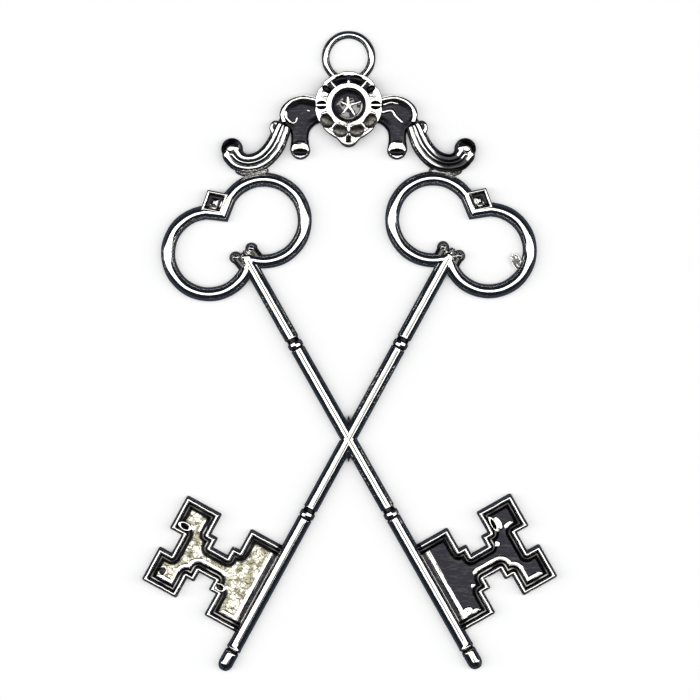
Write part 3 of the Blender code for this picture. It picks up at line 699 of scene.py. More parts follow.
def soft_max(first, second, blend):
    """The higher of two heights, with a soft hollow of about this size where they meet."""
    share = np.clip(0.5 + 0.5 * (first - second) / blend, 0.0, 1.0)
    return second + (first - second) * share + blend * share * (1.0 - share)


def pillow(away, half, height, sag, base):
    """A ridge with a broad gently rounded top and steep sides down to base."""
    share = np.abs(away) / half
    top = height - sag * np.clip(share, 0.0, 1.0) ** 2
    side = (top - base) * ease_between(share, 0.82, 1.0)
    return np.where(share < 1.0, top - side, FAR_BELOW)


def hand_ripple(x, y, size, seed):
    """Shallow unevenness, about -1 to 1, from a few crossing waves."""
    draw = np.random.default_rng(seed)
    total = np.zeros(np.shape(x))
    for _ in range(7):
        turn, phase = draw.uniform(0.0, tau), draw.uniform(0.0, tau)
        pitch = tau / (size * draw.uniform(0.6, 1.8))
        total = total + np.sin((x * cos(turn) + y * sin(turn)) * pitch + phase)
    return total / 4.0


def broken_facets(x, y, size, seed):
    """Small tilted faces like a grainy mould wall: a height from -1 to 1 that breaks at cell edges."""
    draw = np.random.default_rng(seed)
    table = draw.uniform(-1.0, 1.0, (64, 64, 5))
    cell_x, cell_y = np.floor(x / size).astype(int), np.floor(y / size).astype(int)
    best, height = np.full(x.shape, 1e9), np.zeros(x.shape)
    for step_x in (-1, 0, 1):
        for step_y in (-1, 0, 1):
            cx, cy = cell_x + step_x, cell_y + step_y
            spot = table[cx % 64, cy % 64]
            dx, dy = x / size - cx - 0.5 - 0.45 * spot[..., 0], y / size - cy - 0.5 - 0.45 * spot[..., 1]
            away = dx * dx + dy * dy
            tilted = 0.4 * spot[..., 2] + 0.9 * (dx * spot[..., 3] + dy * spot[..., 4])
            height = np.where(away < best, tilted, height)
            best = np.minimum(best, away)
    return height


# %% From outline and heights to a closed mesh
def grid_of(box, step):
    """Places of a regular grid over a box (low x, low y, high x, high y)."""
    columns = np.arange(box[0] - step, box[2] + 1.5 * step, step)
    rows = np.arange(box[1] - step, box[3] + 1.5 * step, step)
    return np.meshgrid(columns, rows, indexing="ij")


def outline_cells(inside):
    """Cells of the grid cut by the outline: a point key is (i, j, kind) with kind 0 corner, 1 or 2 an edge."""
    whole, cut = [], []
    for i in range(inside.shape[0] - 1):
        for j in range(inside.shape[1] - 1):
            corners = ((i, j), (i + 1, j), (i + 1, j + 1), (i, j + 1))
            held = [inside[c] > 0 for c in corners]
            if all(held):
                whole.append([(c[0], c[1], 0) for c in corners])
            elif any(held):
                cut.append((corners, held))
    return whole, cut


def cut_cell(corners, held):
    """The part of a cut cell inside the outline, as one or two loops of point keys."""
    edges = ((corners[0][0], corners[0][1], 1), (corners[1][0], corners[1][1], 2),
             (corners[3][0], corners[3][1], 1), (corners[0][0], corners[0][1], 2))
    if sum(held) == 2 and held[0] == held[2]:
        return [[(*corners[k], 0), edges[k], edges[k - 1]] for k in range(4) if held[k]]
    loop = []
    for k in range(4):
        if held[k]:
            loop.append((*corners[k], 0))
        if held[k] != held[(k + 1) % 4]:
            loop.append(edges[k])
    return [loop]


def key_place(key, xs, ys, inside):
    """Where a point key lies: a grid corner, or the outline's crossing of a grid edge."""
    i, j, kind = key
    if kind == 0:
        return xs[i, j], ys[i, j]
    ni, nj = (i + 1, j) if kind == 1 else (i, j + 1)
    share = inside[i, j] / (inside[i, j] - inside[ni, nj])
    share = min(max(share, 0.02), 0.98)
    return xs[i, j] + share * (xs[ni, nj] - xs[i, j]), ys[i, j] + share * (ys[ni, nj] - ys[i, j])


def flat_back(flat, border, below, count):
    """The back as a few large faces that use only the corners of the outline."""
    corners = [Vector(flat[start]) for start, _ in border]
    edges = [(below[start] - count, below[end] - count) for start, end in border]
    return [tuple(count + corner for corner in reversed(face))
            for face in delaunay_2d_cdt(corners, edges, [], 2, 1e-9)[2]]


def cast_relief(name, outline, face, box, step=0.05, metal=bright_plate, place=None, low=0.0, marks=None,
                sharp=50.0):
    """A closed casting: outline and face take fields of x and y, and so do the marks it carries."""
    xs, ys = grid_of(box, step)
    inside = outline(xs, ys)
    whole, cut = outline_cells(inside)
    loops = whole + [loop for corners, held in cut for loop in cut_cell(corners, held)]
    index = {}
    for loop in loops:
        for key in loop:
            index.setdefault(key, len(index))
    flat = np.array([key_place(key, xs, ys, inside) for key in index])
    heights = np.maximum(face(flat[:, 0], flat[:, 1]), low + 0.05)
    count = len(index)
    top_faces = [tuple(index[key] for key in loop) for loop in loops]
    edge_uses = {}
    for loop in top_faces:
        for start, end in zip(loop, loop[1:] + loop[:1]):
            edge_uses[(start, end)] = edge_uses.get((start, end), 0) + 1
    border = [(start, end) for start, end in edge_uses if (end, start) not in edge_uses]
    below = {start: count + place for place, (start, _) in enumerate(border)}
    walls = [(end, start, below[start], below[end]) for start, end in border]
    back_faces = flat_back(flat, border, below, count)
    spots = [place(x, y) for x, y in flat] if place else [tuple(row) for row in flat]
    points = [(x, y, z) for (x, y), z in zip(spots, heights)] + [(*spots[start], low) for start, _ in border]
    piece = solid_from(name, points, top_faces + back_faces + walls, metal, sharp)
    edge_points = [start for start, _ in border]
    for label, field in (marks or {}).items():
        values = field(flat[:, 0], flat[:, 1])
        write_marks(piece, {label: np.concatenate([values, values[edge_points]])})
    return piece


def square_box(middle, half):
    """The box of a square round a place."""
    return middle[0] - half, middle[1] - half, middle[0] + half, middle[1] + half


# %% [markdown]
# ## Bits
# A bit is a sheet beside the end of the shank with stepped notches. Its rim is a narrow rounded line,
# inside it a wall slopes down with a thin ledge half way, and the floor is sunk. On the left bit the
# floor was never polished: it is broken into small pale grains, yellow where the plating is thin. On
# the right bit it is smooth and painted dark with dull film and painted shade, as are the walls, which
# are lighter where they face up. Along the shank both keep a low bright strip.

# %% The two bits
BIT_AT, BIT_HALF, BIT_REACH, BIT_HEIGHT = 21.85, 5.9, 14.05, 1.5
BIT_NAMES = {1: "left_bit", -1: "right_bit"}
BIT_OUTLINE = [(0, 1), (0.36, 1), (0.36, 0.49), (0.432, 0.49), (0.432, 0.264), (0.612, 0.264), (0.612, 0.49),
               (0.683, 0.49), (0.683, 0.975), (1, 0.975), (1, 0.26), (0.878, 0.26)]
BIT_OUTLINE += [(reach, -half) for reach, half in reversed(BIT_OUTLINE)]
BIT_PLAN = [(reach * BIT_REACH, half * BIT_HALF) for reach, half in BIT_OUTLINE]
# Distance inside the outline and share of the height: sloping outer side, rim, wall with a ledge, floor
BIT_WALL_SECTION = ((-0.24, 0.3), (-0.03, 0.93), (0.06, 0.985), (0.17, 1.0), (0.28, 0.98), (0.38, 0.9), (0.58, 0.705),
                    (0.75, 0.7), (0.84, 0.62), (1.14, 0.36))
OUTER_SIDE = 0.24


def bit_inside(across, along):
    """Distance inside the bit's outline, with its sloping side; across is from the shank's middle."""
    return inside_outline(across, along, BIT_PLAN) + OUTER_SIDE


def bit_edge(across, along):
    """Distance inside the rim, as if the sheet went on far under the shank."""
    return inside_outline(across, along, [(reach if reach > 0 else -4.0, half) for reach, half in BIT_PLAN])


STRIP_AT, STRIP_HALF = 1.55, 0.24
# Lumps and rim loops left by hand work, by side: across, along, half sizes; loops are thin rings
BIT_LUMPS = {1: [], -1: [(11.1, 3.5, 0.42, 0.95), (9.7, 1.3, 0.36, 0.4), (2.35, -4.25, 0.75, 0.55)]}
BIT_LOOPS = {1: [(12.7, 2.5, 0.72, 0.42), (5.2, -2.1, 0.62, 0.4)], -1: [(10.5, 3.7, 0.28, 0.9)]}
BIT_PITS = {1: [(12.5, -3.8, 0.42, 0.5)], -1: []}


def loop_away(across, along, loop):
    """Distance from the line of a loop, as a share of its size."""
    return np.sqrt(np.maximum(1.0 - oval_share(across, along, loop), 0.0)) - 1.0


def strip_side(along):
    """The strip's side towards the shank; the strip grows wider towards the tip."""
    return STRIP_AT - STRIP_HALF - 0.08 * np.clip((BIT_HALF - along) / (2 * BIT_HALF), 0.0, 1.0)


def faces_up(side, across, along):
    """1 where the wall beside a place rises towards the lower side of the picture, so that it faces up."""
    tilt = KEY_TILT - side * KEY_UNEVEN
    ahead = bit_edge(across + 0.1 * sin(tilt), along + 0.1 * cos(tilt))
    return ease_between((ahead - bit_edge(across, along)) / 0.1, 0.25, 0.6)


def bit_face(side):
    """The height of a bit's front: rim, wall with a ledge, floor, strip along the shank."""
    def face(across, along):
        edge = bit_edge(across, along) + 0.02 * hand_ripple(across, along, 1.3, 7 + side)
        height = BIT_HEIGHT * np.interp(edge, [e for e, _ in BIT_WALL_SECTION], [h for _, h in BIT_WALL_SECTION])
        floor = BIT_HEIGHT * BIT_WALL_SECTION[-1][1]
        deep = ease_between(edge, 1.1, 1.3)
        if side > 0:
            grains = 0.09 * broken_facets(across, along, 0.75, 3)
            height = height + deep * (grains + 0.025 * broken_facets(across + 3.1, along, 0.33, 4) + 0.06)
        else:
            height = height + deep * 0.008 * hand_ripple(across, along, 1.6, 21)
        lower = faces_up(side, across, along)
        inner = pillow(edge - 1.25, 0.05 + 0.3 * lower, floor + 0.2, 0.08, floor - 0.1)
        height = soft_max(height, np.where(lower > 0.3, inner, FAR_BELOW), 0.02)
        half = STRIP_HALF + 2.5 * (STRIP_AT - STRIP_HALF - strip_side(along))
        strip = pillow(across - strip_side(along) - half, half, floor + 0.32, 0.09, floor - 0.1)
        height = soft_max(height, np.where(np.abs(along) < BIT_HALF - 1.1, strip, FAR_BELOW), 0.02)
        for lump in BIT_LUMPS[side]:
            share = oval_share(across, along, lump)
            rough = 0.03 * broken_facets(across, along, 0.3, 17)
            raised = floor + 0.25 * ease_between(share, 0.0, 0.3) + rough
            height = np.where(share > 0, np.maximum(height, raised), height)
        for loop in BIT_LOOPS[side]:
            ring = pillow(loop_away(across, along, loop), 0.3, 0.93 * BIT_HEIGHT, 0.06, 0.5 * BIT_HEIGHT)
            height = soft_max(height, np.where(edge > 0.1, ring, FAR_BELOW), 0.02)
        for pit in BIT_PITS[side]:
            height = height - 0.25 * ease_between(oval_share(across, along, pit), 0.0, 0.4)
        return height + 0.003 * hand_ripple(across, along, 0.8, 31 + side)
    return face


def bit_marks(side):
    """Where the bit's floor is unpolished, and where dull film and painted shade lie: on the walls, less where they
    face up, and on the right floor.
    """
    def floor_share(across, along):
        lower = faces_up(side, across, along)
        return ease_between(bit_edge(across, along), 1.12 + 0.38 * lower, 1.2 + 0.38 * lower) * ease_between(
            across, 1.88, 1.96)

    def film_and_shade(across, along):
        edge = bit_edge(across, along)
        lower = faces_up(side, across, along)
        # Painted shade: the walls are dark, with more light streaks where they face up
        wall = ease_between(edge, 0.31, 0.38) * (1.0 - ease_between(edge, 1.14 - 0.12 * lower, 1.22 - 0.12 * lower))
        streak = np.exp(-((edge - 0.67) / 0.08) ** 2) * ease_between(hand_ripple(across, along, 2.6, 77), -0.5, 0.4)
        wall = wall * (1.0 - (0.09 + 0.4 * lower) * streak)
        low = np.maximum(wall, ease_between(strip_side(along) + 0.05 - across, 0.0, 0.05))
        if side < 0:
            # Painted shade over the whole right floor, but not beside walls that face up
            whole_floor = (1.0 - lower) * (edge > 1.1) * (across > 1.96)
            low = np.maximum(low, np.maximum(floor_share(across, along), whole_floor))
        for lump in BIT_LUMPS[side]:
            low = low * (1.0 - ease_between(oval_share(across, along, lump), 0.0, 0.25))
        for loop in BIT_LOOPS[side]:
            ring = loop_away(across, along, loop)
            low = np.where(np.abs(ring) < 0.24, 0.0, np.where(ring < 0, 1.0, low))
        for pit in BIT_PITS[side]:
            low = np.maximum(low, ease_between(oval_share(across, along, pit), 0.0, 0.3))
        return low
    marks = {"film_and_shade_share": film_and_shade}
    if side > 0:
        def raw(across, along):
            share = 0.97 * floor_share(across, along)
            for oval in BIT_PITS[side] + BIT_LOOPS[side]:
                share = share * (1.0 - ease_between(oval_share(across, along, oval), -0.6, 0.0))
            return share
        marks["unpolished"] = raw
    return marks


for side, bit_name in BIT_NAMES.items():
    bit = cast_relief(bit_name, bit_inside, bit_face(side),
                      (0.0, -BIT_HALF - OUTER_SIDE, BIT_REACH + OUTER_SIDE, BIT_HALF + OUTER_SIDE),
                      place=lambda across, along, side=side: on_key(side, along - BIT_AT, across),
                      marks=bit_marks(side), sharp=35.0)
    take_place(bit, "crossed_keys_frame")

# %% [markdown]
# ## The arch
# Each half of the arch starts at the rosette with a leaf that curls over: a flat dark face, a raised
# round rim, a few worked ridges and a drop at its end. A scroll runs out from it, with three ridges that
# follow its line and end in a curl, and a little solder holds it on the bow. Left and right are cast
# from one pattern but were finished by hand, so the veins differ.

# %% One half of the arch
LEAF_HEIGHT, LEAF_RIM, LEAF_RIM_HEIGHT = 0.9, 0.75, 1.6
EYE_RADIUS, DROP_RADIUS, DROP_HEIGHT = 0.8, 1.2, 1.55
SCROLL_WIDTH, SCROLL_HEIGHT, SCROLL_END, SIDE_LOBE = 2.45, 1.75, 1.35, 0.75
SOLDER_HALF, SOLDER_HEIGHT = (2.1, 0.8), 1.0
LEAF_OUTLINE = [
    (0.24, 1.107), (0.288, 1.13), (0.35, 1.153), (0.413, 1.137), (0.476, 1.084), (0.523, 1.0),
    (0.543, 0.893), (0.535, 0.787), (0.5, 0.695), (0.46, 0.619), (0.452, 0.512), (0.456, 0.421),
    (0.46, 0.329), (0.437, 0.245), (0.382, 0.203), (0.327, 0.23), (0.303, 0.314), (0.311, 0.421),
    (0.315, 0.527), (0.303, 0.634), (0.256, 0.726), (0.178, 0.787), (0.12, 0.95)]
LEAF_RIM_PATH = [(0.18, 1.05), (0.24, 1.08), (0.288, 1.105), (0.35, 1.122), (0.41, 1.103), (0.462, 1.052),
                 (0.502, 0.97), (0.519, 0.87), (0.508, 0.77)]
EYE_AT, DROP_AT = (0.429, 0.848), (0.38, 0.335)
SCROLL_PATH = [
    (0.5, 0.75, 0.7), (0.526, 0.64, 0.9), (0.55, 0.52, 0.95), (0.58, 0.4, 1.0), (0.622, 0.29, 1.0),
    (0.676, 0.195, 1.0), (0.742, 0.14, 0.98), (0.81, 0.132, 0.96), (0.872, 0.175, 1.04), (0.91, 0.26, 1.08)]
SCROLL_END_AT, SIDE_LOBE_AT, SOLDER_AT = (0.917, 0.35), (0.575, 0.665), (0.762, 0.018)
RIDGES_AT, RIDGE_HALF, RIDGE_SAG = (-0.62, 0.0, 0.62), 0.31, 0.12


def arch_line(points):
    """A smooth line on the right half of the arch, in mm; a third column stays as it is."""
    rows = [(*on_arch(1, row[:2]), *row[2:]) for row in points]
    return rounder_line(rows, 6)


LEAF_EDGE = arch_line(LEAF_OUTLINE + LEAF_OUTLINE[:1])[:-1]
RIM_LINE = arch_line(LEAF_RIM_PATH)
SCROLL_LINE = arch_line(SCROLL_PATH)
EYE, DROP, CURL = on_arch(1, EYE_AT), on_arch(1, DROP_AT), on_arch(1, SCROLL_END_AT)
SIDE_MOUND, SOLDER_MIDDLE = on_arch(1, SIDE_LOBE_AT), on_arch(1, SOLDER_AT)
# Extra ridges worked by hand: line in shares, half width and height
VEINS = {-1: [([(0.492, 0.905), (0.488, 0.83), (0.457, 0.755)], 0.21, 1.4),
              ([(0.4415, 0.74), (0.417, 0.755), (0.405, 0.816)], 0.13, 1.25),
              ([(0.309, 0.923), (0.317, 0.93)], 0.17, 1.3)],
         1: [([(0.264, 0.903), (0.336, 0.926), (0.3685, 0.849), (0.416, 0.755)], 0.22, 1.45),
             ([(0.277, 1.019), (0.328, 1.051), (0.384, 1.034)], 0.12, 1.4)]}
SCROLL_START = 0.05
# Ovals: place and half sizes
CURL_OVAL = (*CURL, SCROLL_END, SCROLL_END)
SIDE_OVAL = (*SIDE_MOUND, SIDE_LOBE, SIDE_LOBE * 1.3)
DROP_OVAL, DROP_PIT = (*DROP, DROP_RADIUS, DROP_RADIUS), (DROP[0], DROP[1] - 0.36, 0.98, 0.46)
SOLDER_OVAL, EYE_OVAL = (*SOLDER_MIDDLE, *SOLDER_HALF), (*EYE, EYE_RADIUS, EYE_RADIUS)


def scroll_parts(x, y):
    """Distance inside the scroll's edge, the share across it from side to side, and the share along it."""
    away, along = nearest_on_path(x, y, SCROLL_LINE)
    half = SCROLL_WIDTH / 2 * np.interp(along, range(len(SCROLL_LINE)), SCROLL_LINE[:, 2])
    return half - np.abs(away), away / half, along / (len(SCROLL_LINE) - 1)


def oval_inside(x, y, oval):
    """Roughly the distance inside an oval."""
    return (1.0 - np.hypot((x - oval[0]) / oval[2], (y - oval[1]) / oval[3])) * min(oval[2:])


def arch_inside(side):
    """Distance inside the outline of a half arch."""
    def outline(x, y):
        x = side * x
        edge = np.maximum(inside_outline(x, y, LEAF_EDGE), scroll_parts(x, y)[0])
        rim_away, _ = nearest_on_path(x, y, RIM_LINE)
        edge = np.maximum(edge, LEAF_RIM / 2 - np.abs(rim_away))
        for oval in (CURL_OVAL, SIDE_OVAL, DROP_OVAL, EYE_OVAL, SOLDER_OVAL):
            edge = np.maximum(edge, oval_inside(x, y, oval))
        return edge
    return outline


def dome(share, height):
    """A lump with an elliptical top that stands on the back plane, from its oval share."""
    return np.where(share > 0, height * (0.3 + 0.7 * np.sqrt(np.clip(share, 0.0, 1.0))), FAR_BELOW)


def loaf(share, height, foot):
    """A lump with a flat top and steep sides over its foot, from its oval share."""
    side = (0.9 - foot) * ease_between(share, 0.0, foot)
    return np.where(share > 0, height * (foot + side + 0.1 * np.sqrt(np.clip(share, 0.0, 1.0))), FAR_BELOW)


def arch_face(side):
    """Heights of a half arch."""
    def face(x, y):
        x = side * x
        leaf_edge = inside_outline(x, y, LEAF_EDGE)
        leaf = LEAF_HEIGHT * (0.45 + 0.55 * ease_between(leaf_edge, -0.05, 0.28))
        height = np.where(leaf_edge > -0.05, leaf, FAR_BELOW)
        height = height + 0.25 * ease_between(leaf_edge, 0.15, 1.2)
        rim_away, _ = nearest_on_path(x, y, RIM_LINE)
        height = soft_max(height, pillow(rim_away, 0.28, LEAF_RIM_HEIGHT, 0.1, 0.6), 0.03)
        for line, half, top in VEINS[side]:
            vein_away, _ = nearest_on_path(x, y, arch_line(line))
            height = soft_max(height, pillow(vein_away, half, top, 0.35 * half, 0.8), 0.03)
        drop = loaf(oval_share(x, y, DROP_OVAL), DROP_HEIGHT, 0.25)
        height = soft_max(height, drop - 0.5 * np.sqrt(np.clip(oval_share(x, y, DROP_PIT), 0.0, 1.0)), 0.04)
        edge, across, along = scroll_parts(x, y)
        crown = np.interp(np.abs(across), (0.0, 0.62, 0.93, 1.0), (1.0, 0.9, 0.8, 0.35))
        local = np.min([np.abs(across - at) for at in RIDGES_AT], axis=0)
        ridged = SCROLL_HEIGHT * crown - RIDGE_SAG * (local / RIDGE_HALF) ** 2
        height = soft_max(height, np.where((edge > 0) & (along > SCROLL_START), ridged, FAR_BELOW), 0.03)
        height = soft_max(height, loaf(oval_share(x, y, SIDE_OVAL), SCROLL_HEIGHT * 0.85, 0.3), 0.05)
        curl = dome(oval_share(x, y, CURL_OVAL), SCROLL_HEIGHT * 1.03)
        turn = np.arctan2(y - CURL[1], x - CURL[0])
        spiral = np.hypot(x - CURL[0], y - CURL[1]) - (0.55 + 0.16 * (turn + 2.2))
        curl = curl - 0.3 * np.exp(-(spiral / 0.13) ** 2) * (curl > 0)
        height = soft_max(height, curl, 0.05)
        solder = dome(oval_share(x, y, SOLDER_OVAL), SOLDER_HEIGHT)
        solder = solder + 0.14 * broken_facets(x, y, 0.55, 40 + side) + 0.05 * broken_facets(x, y, 0.25, 43 + side)
        height = soft_max(height, solder, 0.15)
        return np.maximum(height, 0.25) + 0.012 * hand_ripple(x, y, 1.1, 51 + side)
    return face


def arch_marks(side):
    """Dull film and painted shade lie on the leaf's low face, in the scroll's grooves, along the right scroll's ridges
    near the curl, on a spot of the side lobe, on the outer side of the curl, on the drop and on the solder.
    """
    def film_and_shade(x, y):
        x = side * x
        rim_away, _ = nearest_on_path(x, y, RIM_LINE)
        low = ease_between(inside_outline(x, y, LEAF_EDGE), 0.0, 0.15) * (np.abs(rim_away) > 0.24)
        for line, half, _ in VEINS[side]:
            vein_away, _ = nearest_on_path(x, y, arch_line(line))
            low = low * ease_between(np.abs(vein_away), half * 0.6, half * 0.9)
        edge, across, along = scroll_parts(x, y)
        groove = np.exp(-((np.abs(across) - RIDGE_HALF) / 0.06) ** 2) + ease_between(np.abs(across), 0.88, 0.94)
        # Painted shade: the right scroll's ridges turn dark on their way to the curl
        fading = 0.965 * ease_between(along - 0.08 * np.sin(across * 9.0), 0.5, 0.62)
        fading = fading * ease_between(0.97 - along, 0.0, 0.03) * (side > 0)
        low = np.where(edge > 0, np.where(along > SCROLL_START, np.maximum(0.9 * groove, fading),
                                          np.maximum(low, inside_outline(x, y, LEAF_EDGE) < 0.05)), low)
        dent = oval_inside(x, y, (SIDE_MOUND[0] + 0.1, SIDE_MOUND[1] + 0.1, 0.28, 0.4)) > 0
        low = np.where(oval_inside(x, y, SIDE_OVAL) > 0, 1.0 * dent, low)
        curl = oval_inside(x, y, CURL_OVAL) > 0
        # Painted shade on the outer side of the curl
        outer = ease_between((x - CURL[0]) * 0.8 + (y - CURL[1]), 0.1, 0.5)
        low = np.where(curl, np.maximum(outer, 0.9 * groove * (edge > 0)), low)
        # Painted shade on the top edge of the drop and in its pit
        above = ease_between(y - DROP[1] - 0.72 - 0.45 * np.abs(x - DROP[0]) ** 1.5, 0.0, 0.12)
        pit = np.maximum(ease_between(oval_share(x, y, DROP_PIT), 0.0, 0.25), above)
        low = np.where(np.hypot(x - DROP[0], y - DROP[1]) < DROP_RADIUS * 0.95, pit, low)
        return np.maximum(low, 0.55 * (oval_inside(x, y, SOLDER_OVAL) > 0) * (edge < 0))
    return {"film_and_shade_share": film_and_shade}


for side in SIDES:
    arch_box = sorted((side * 0.1 * ARCH_HALF, side * 1.02 * ARCH_HALF))
    half = cast_relief(f"{SIDES[side]}_half_of_the_arch", arch_inside(side), arch_face(side),
                       (arch_box[0], ARCH_BASE - 0.8, arch_box[1], ARCH_BASE + 1.2 * ARCH_RISE), 0.055,
                       marks=arch_marks(side), sharp=40.0)
    take_place(half, "crossed_keys_frame")

# %% [markdown]
# ## Lozenges, webs and flash
# On the notch of each bow sits a lozenge: a raised rim, a dark pit and a small pyramid in it. Where
# the shanks cross, and where lobes and shank run together, metal filled the corners of the mould.
# Inside the right bow a thin leaf of mould flash was never filed off.

# %% Lozenges on the bows
LOZENGE_LONG, LOZENGE_SHORT, LOZENGE_LIFT, LOZENGE_HEIGHT, LOZENGE_FLOOR = 2.08, 1.78, 0.03, 1.62, 0.95
LOZENGE_AT = BOW_REACH + LOBE_MEETING + LOZENGE_SHORT + LOZENGE_LIFT


def lozenge_share(across, along):
    """0 in the middle of the lozenge, 1 on its outline."""
    return np.abs(across) / LOZENGE_LONG + np.abs(along) / LOZENGE_SHORT


def lozenge_face(across, along):
    """Rim, pit and pyramid."""
    share = lozenge_share(across, along)
    rim = LOZENGE_HEIGHT * np.interp(share, (0.5, 0.62, 0.71, 0.78, 0.84, 0.89, 0.94, 1.0),
                                     (0.58, 0.62, 0.96, 0.99, 1.0, 0.98, 0.9, 0.4))
    top = LOZENGE_FLOOR + (LOZENGE_HEIGHT - LOZENGE_FLOOR) * 0.75 * np.clip(1.0 - share / 0.36, 0.0, 1.0)
    pyramid = np.where(share < 0.36, top, FAR_BELOW)
    pyramid = np.where(share < 0.07, top - 0.25, pyramid)
    return np.maximum(np.where(share < 0.5, LOZENGE_FLOOR, rim), pyramid)


def lozenge_film_and_shade(across, along):
    """Dull film and painted shade lie in the pit round the pyramid."""
    share = lozenge_share(across, along)
    return ease_between(share, 0.3, 0.36) * (1.0 - ease_between(share, 0.68, 0.74))


for side in SIDES:
    lozenge = cast_relief(f"lozenge_of_the_{SIDES[side]}_bow", lambda a, b: (1.0 - lozenge_share(a, b)) * 1.3,
                          lozenge_face, (-LOZENGE_LONG, -LOZENGE_SHORT, LOZENGE_LONG, LOZENGE_SHORT),
                          marks={"film_and_shade_share": lozenge_film_and_shade}, sharp=25.0,
                          place=lambda a, b, side=side: on_key(side, LOZENGE_AT + b, a))
    take_place(lozenge, "crossed_keys_frame")

# %% Filled corners where the shanks cross and where the bows close
SHANK_LINES = [[on_key(side, -6.0, 0.0), on_key(side, 6.0, 0.0)] for side in SIDES]


def bar_height(away, width, height, side):
    """Height of a half round bar at a distance from its middle line."""
    share = np.clip(1.0 - (away / (width / 2)) ** 2, 0.0, 1.0)
    return np.where(np.abs(away) < width / 2, height * (side + (1.0 - side) * np.sqrt(share)), 0.2)


def crossing_face(x, y):
    """Both shanks with a soft hollow between them, and the flat web below."""
    bars = [bar_height(nearest_on_path(x, y, line)[0], SHANK_WIDTH, SHANK_HEIGHT, SHANK_SIDE) for line in SHANK_LINES]
    together = soft_max(bars[0], bars[1], 0.35)
    return np.minimum(np.maximum(together, 0.8 + 0.05 * hand_ripple(x, y, 0.7, 91)), SHANK_HEIGHT) - 0.03


def crossing_inside(x, y):
    """A narrow area above and below the crossing."""
    return (1.0 - (np.abs(x) / 1.15 + np.abs(y) / 2.9)) * 1.2


# Dull film and painted shade darken the ends of the web above and below the crossing
web = cast_relief("web_of_the_crossing", crossing_inside, crossing_face, (-1.3, -3.0, 1.3, 3.0),
                  marks={"film_and_shade_share": lambda x, y: ease_between(np.abs(y), 1.3, 1.6)})
take_place(web, "crossed_keys_frame")

for side in SIDES:
    foot_lines = [[on_lobe(side, hand, tau - turn) for turn in np.linspace(LOBE_NOTCH, LOBE_NOTCH + 0.5, 12)]
                  for hand in (1, -1)]
    root_lines = foot_lines + [[on_key(side, SHANK_END - 2.5, 0.0), on_key(side, SHANK_END + 0.2, 0.0)]]
    root_centre = on_key(side, SHANK_END - 0.1, 0.0)

    def root_face(x, y, lines=root_lines):
        """Lobes and shank run into each other."""
        bars = [bar_height(nearest_on_path(x, y, line)[0], BOW_WIRE, BOW_HEIGHT, LOW_SIDE) for line in lines]
        total = soft_max(soft_max(bars[0], bars[1], 0.25), bars[2], 0.25)
        return np.minimum(total, BOW_HEIGHT + 0.04) - 0.01 + 0.03 * hand_ripple(x, y, 0.6, 95)

    def root_inside(x, y, centre=root_centre, lines=root_lines):
        """A small round area that stays on the wires."""
        near = np.min([np.abs(nearest_on_path(x, y, line)[0]) for line in lines], axis=0)
        return np.minimum(1.35 - np.hypot(x - centre[0], y - centre[1]), BOW_WIRE / 2 - 0.03 - near)

    root = cast_relief(f"root_of_the_{SIDES[side]}_bow", root_inside, root_face, square_box(root_centre, 1.4))
    take_place(root, "crossed_keys_frame")

# %% Mould flash inside the right bow
BURR_LENGTH, BURR_HEIGHT, BURR_AT = 2.4, 0.6, (3.45, -1.5)
BURR_OUTLINE = [(-0.18, 0.49), (0.08, 0.34), (0.23, 0.08), (0.33, -0.23), (0.3, -0.49), (-0.03, -0.34),
                (-0.23, -0.08), (-0.31, 0.23)]
flash_middle = np.array(on_bow(1, BOW_REACH, -LOBE_SPREAD)) + BURR_AT
flash_edge = [tuple(flash_middle + np.array(row) * BURR_LENGTH) for row in BURR_OUTLINE]


def flash_inside(x, y):
    """Distance inside the outline of the flash."""
    return inside_outline(x, y, flash_edge)


# Dull film and painted shade cover the inner facets of the flash, all but the lowest
flash = cast_relief(
    "mould_flash", flash_inside,
    lambda x, y: BURR_HEIGHT * (0.75 + 0.12 * broken_facets(x, y, 0.6, 9))
    + 0.1 * ease_between(0.2 - flash_inside(x, y), 0.0, 0.15), square_box(flash_middle, 1.3),
    marks={"film_and_shade_share": lambda x, y: 0.9 * (broken_facets(x, y, 0.6, 9) > -0.1) * (flash_inside(x, y) > 0.16)})
take_place(flash, "crossed_keys_frame")

# %% [markdown]
# ## Rosette
# The rosette is one small casting with a round hole for its stud. From the hole outward it has a
# flat bright ring that leans a little outward, ten dished petals with a pit in each, and thin raised
# rays between them. Its lowest petal is drawn out to a point. A turned form is meshed on circles, so
# that ring and pits stay clean.

# %% Turned relief and the rosette
ROSETTE_RADIUS, ROSETTE_TIP, ROSETTE_THICK, PETALS = 4.25, 0.95, 1.45, 10
ROSETTE_LOW, ROSETTE_BORE, RECESS_RADIUS, ROSETTE_TOP_LIMIT = 1.15, 0.76, 2.1, 2.59
ROSETTE_MIDDLE = (0.0, ROSETTE_RISE)
TIP_TURN = -pi / 2
LIP_START, LIP_LEVEL = 3.8, 0.79


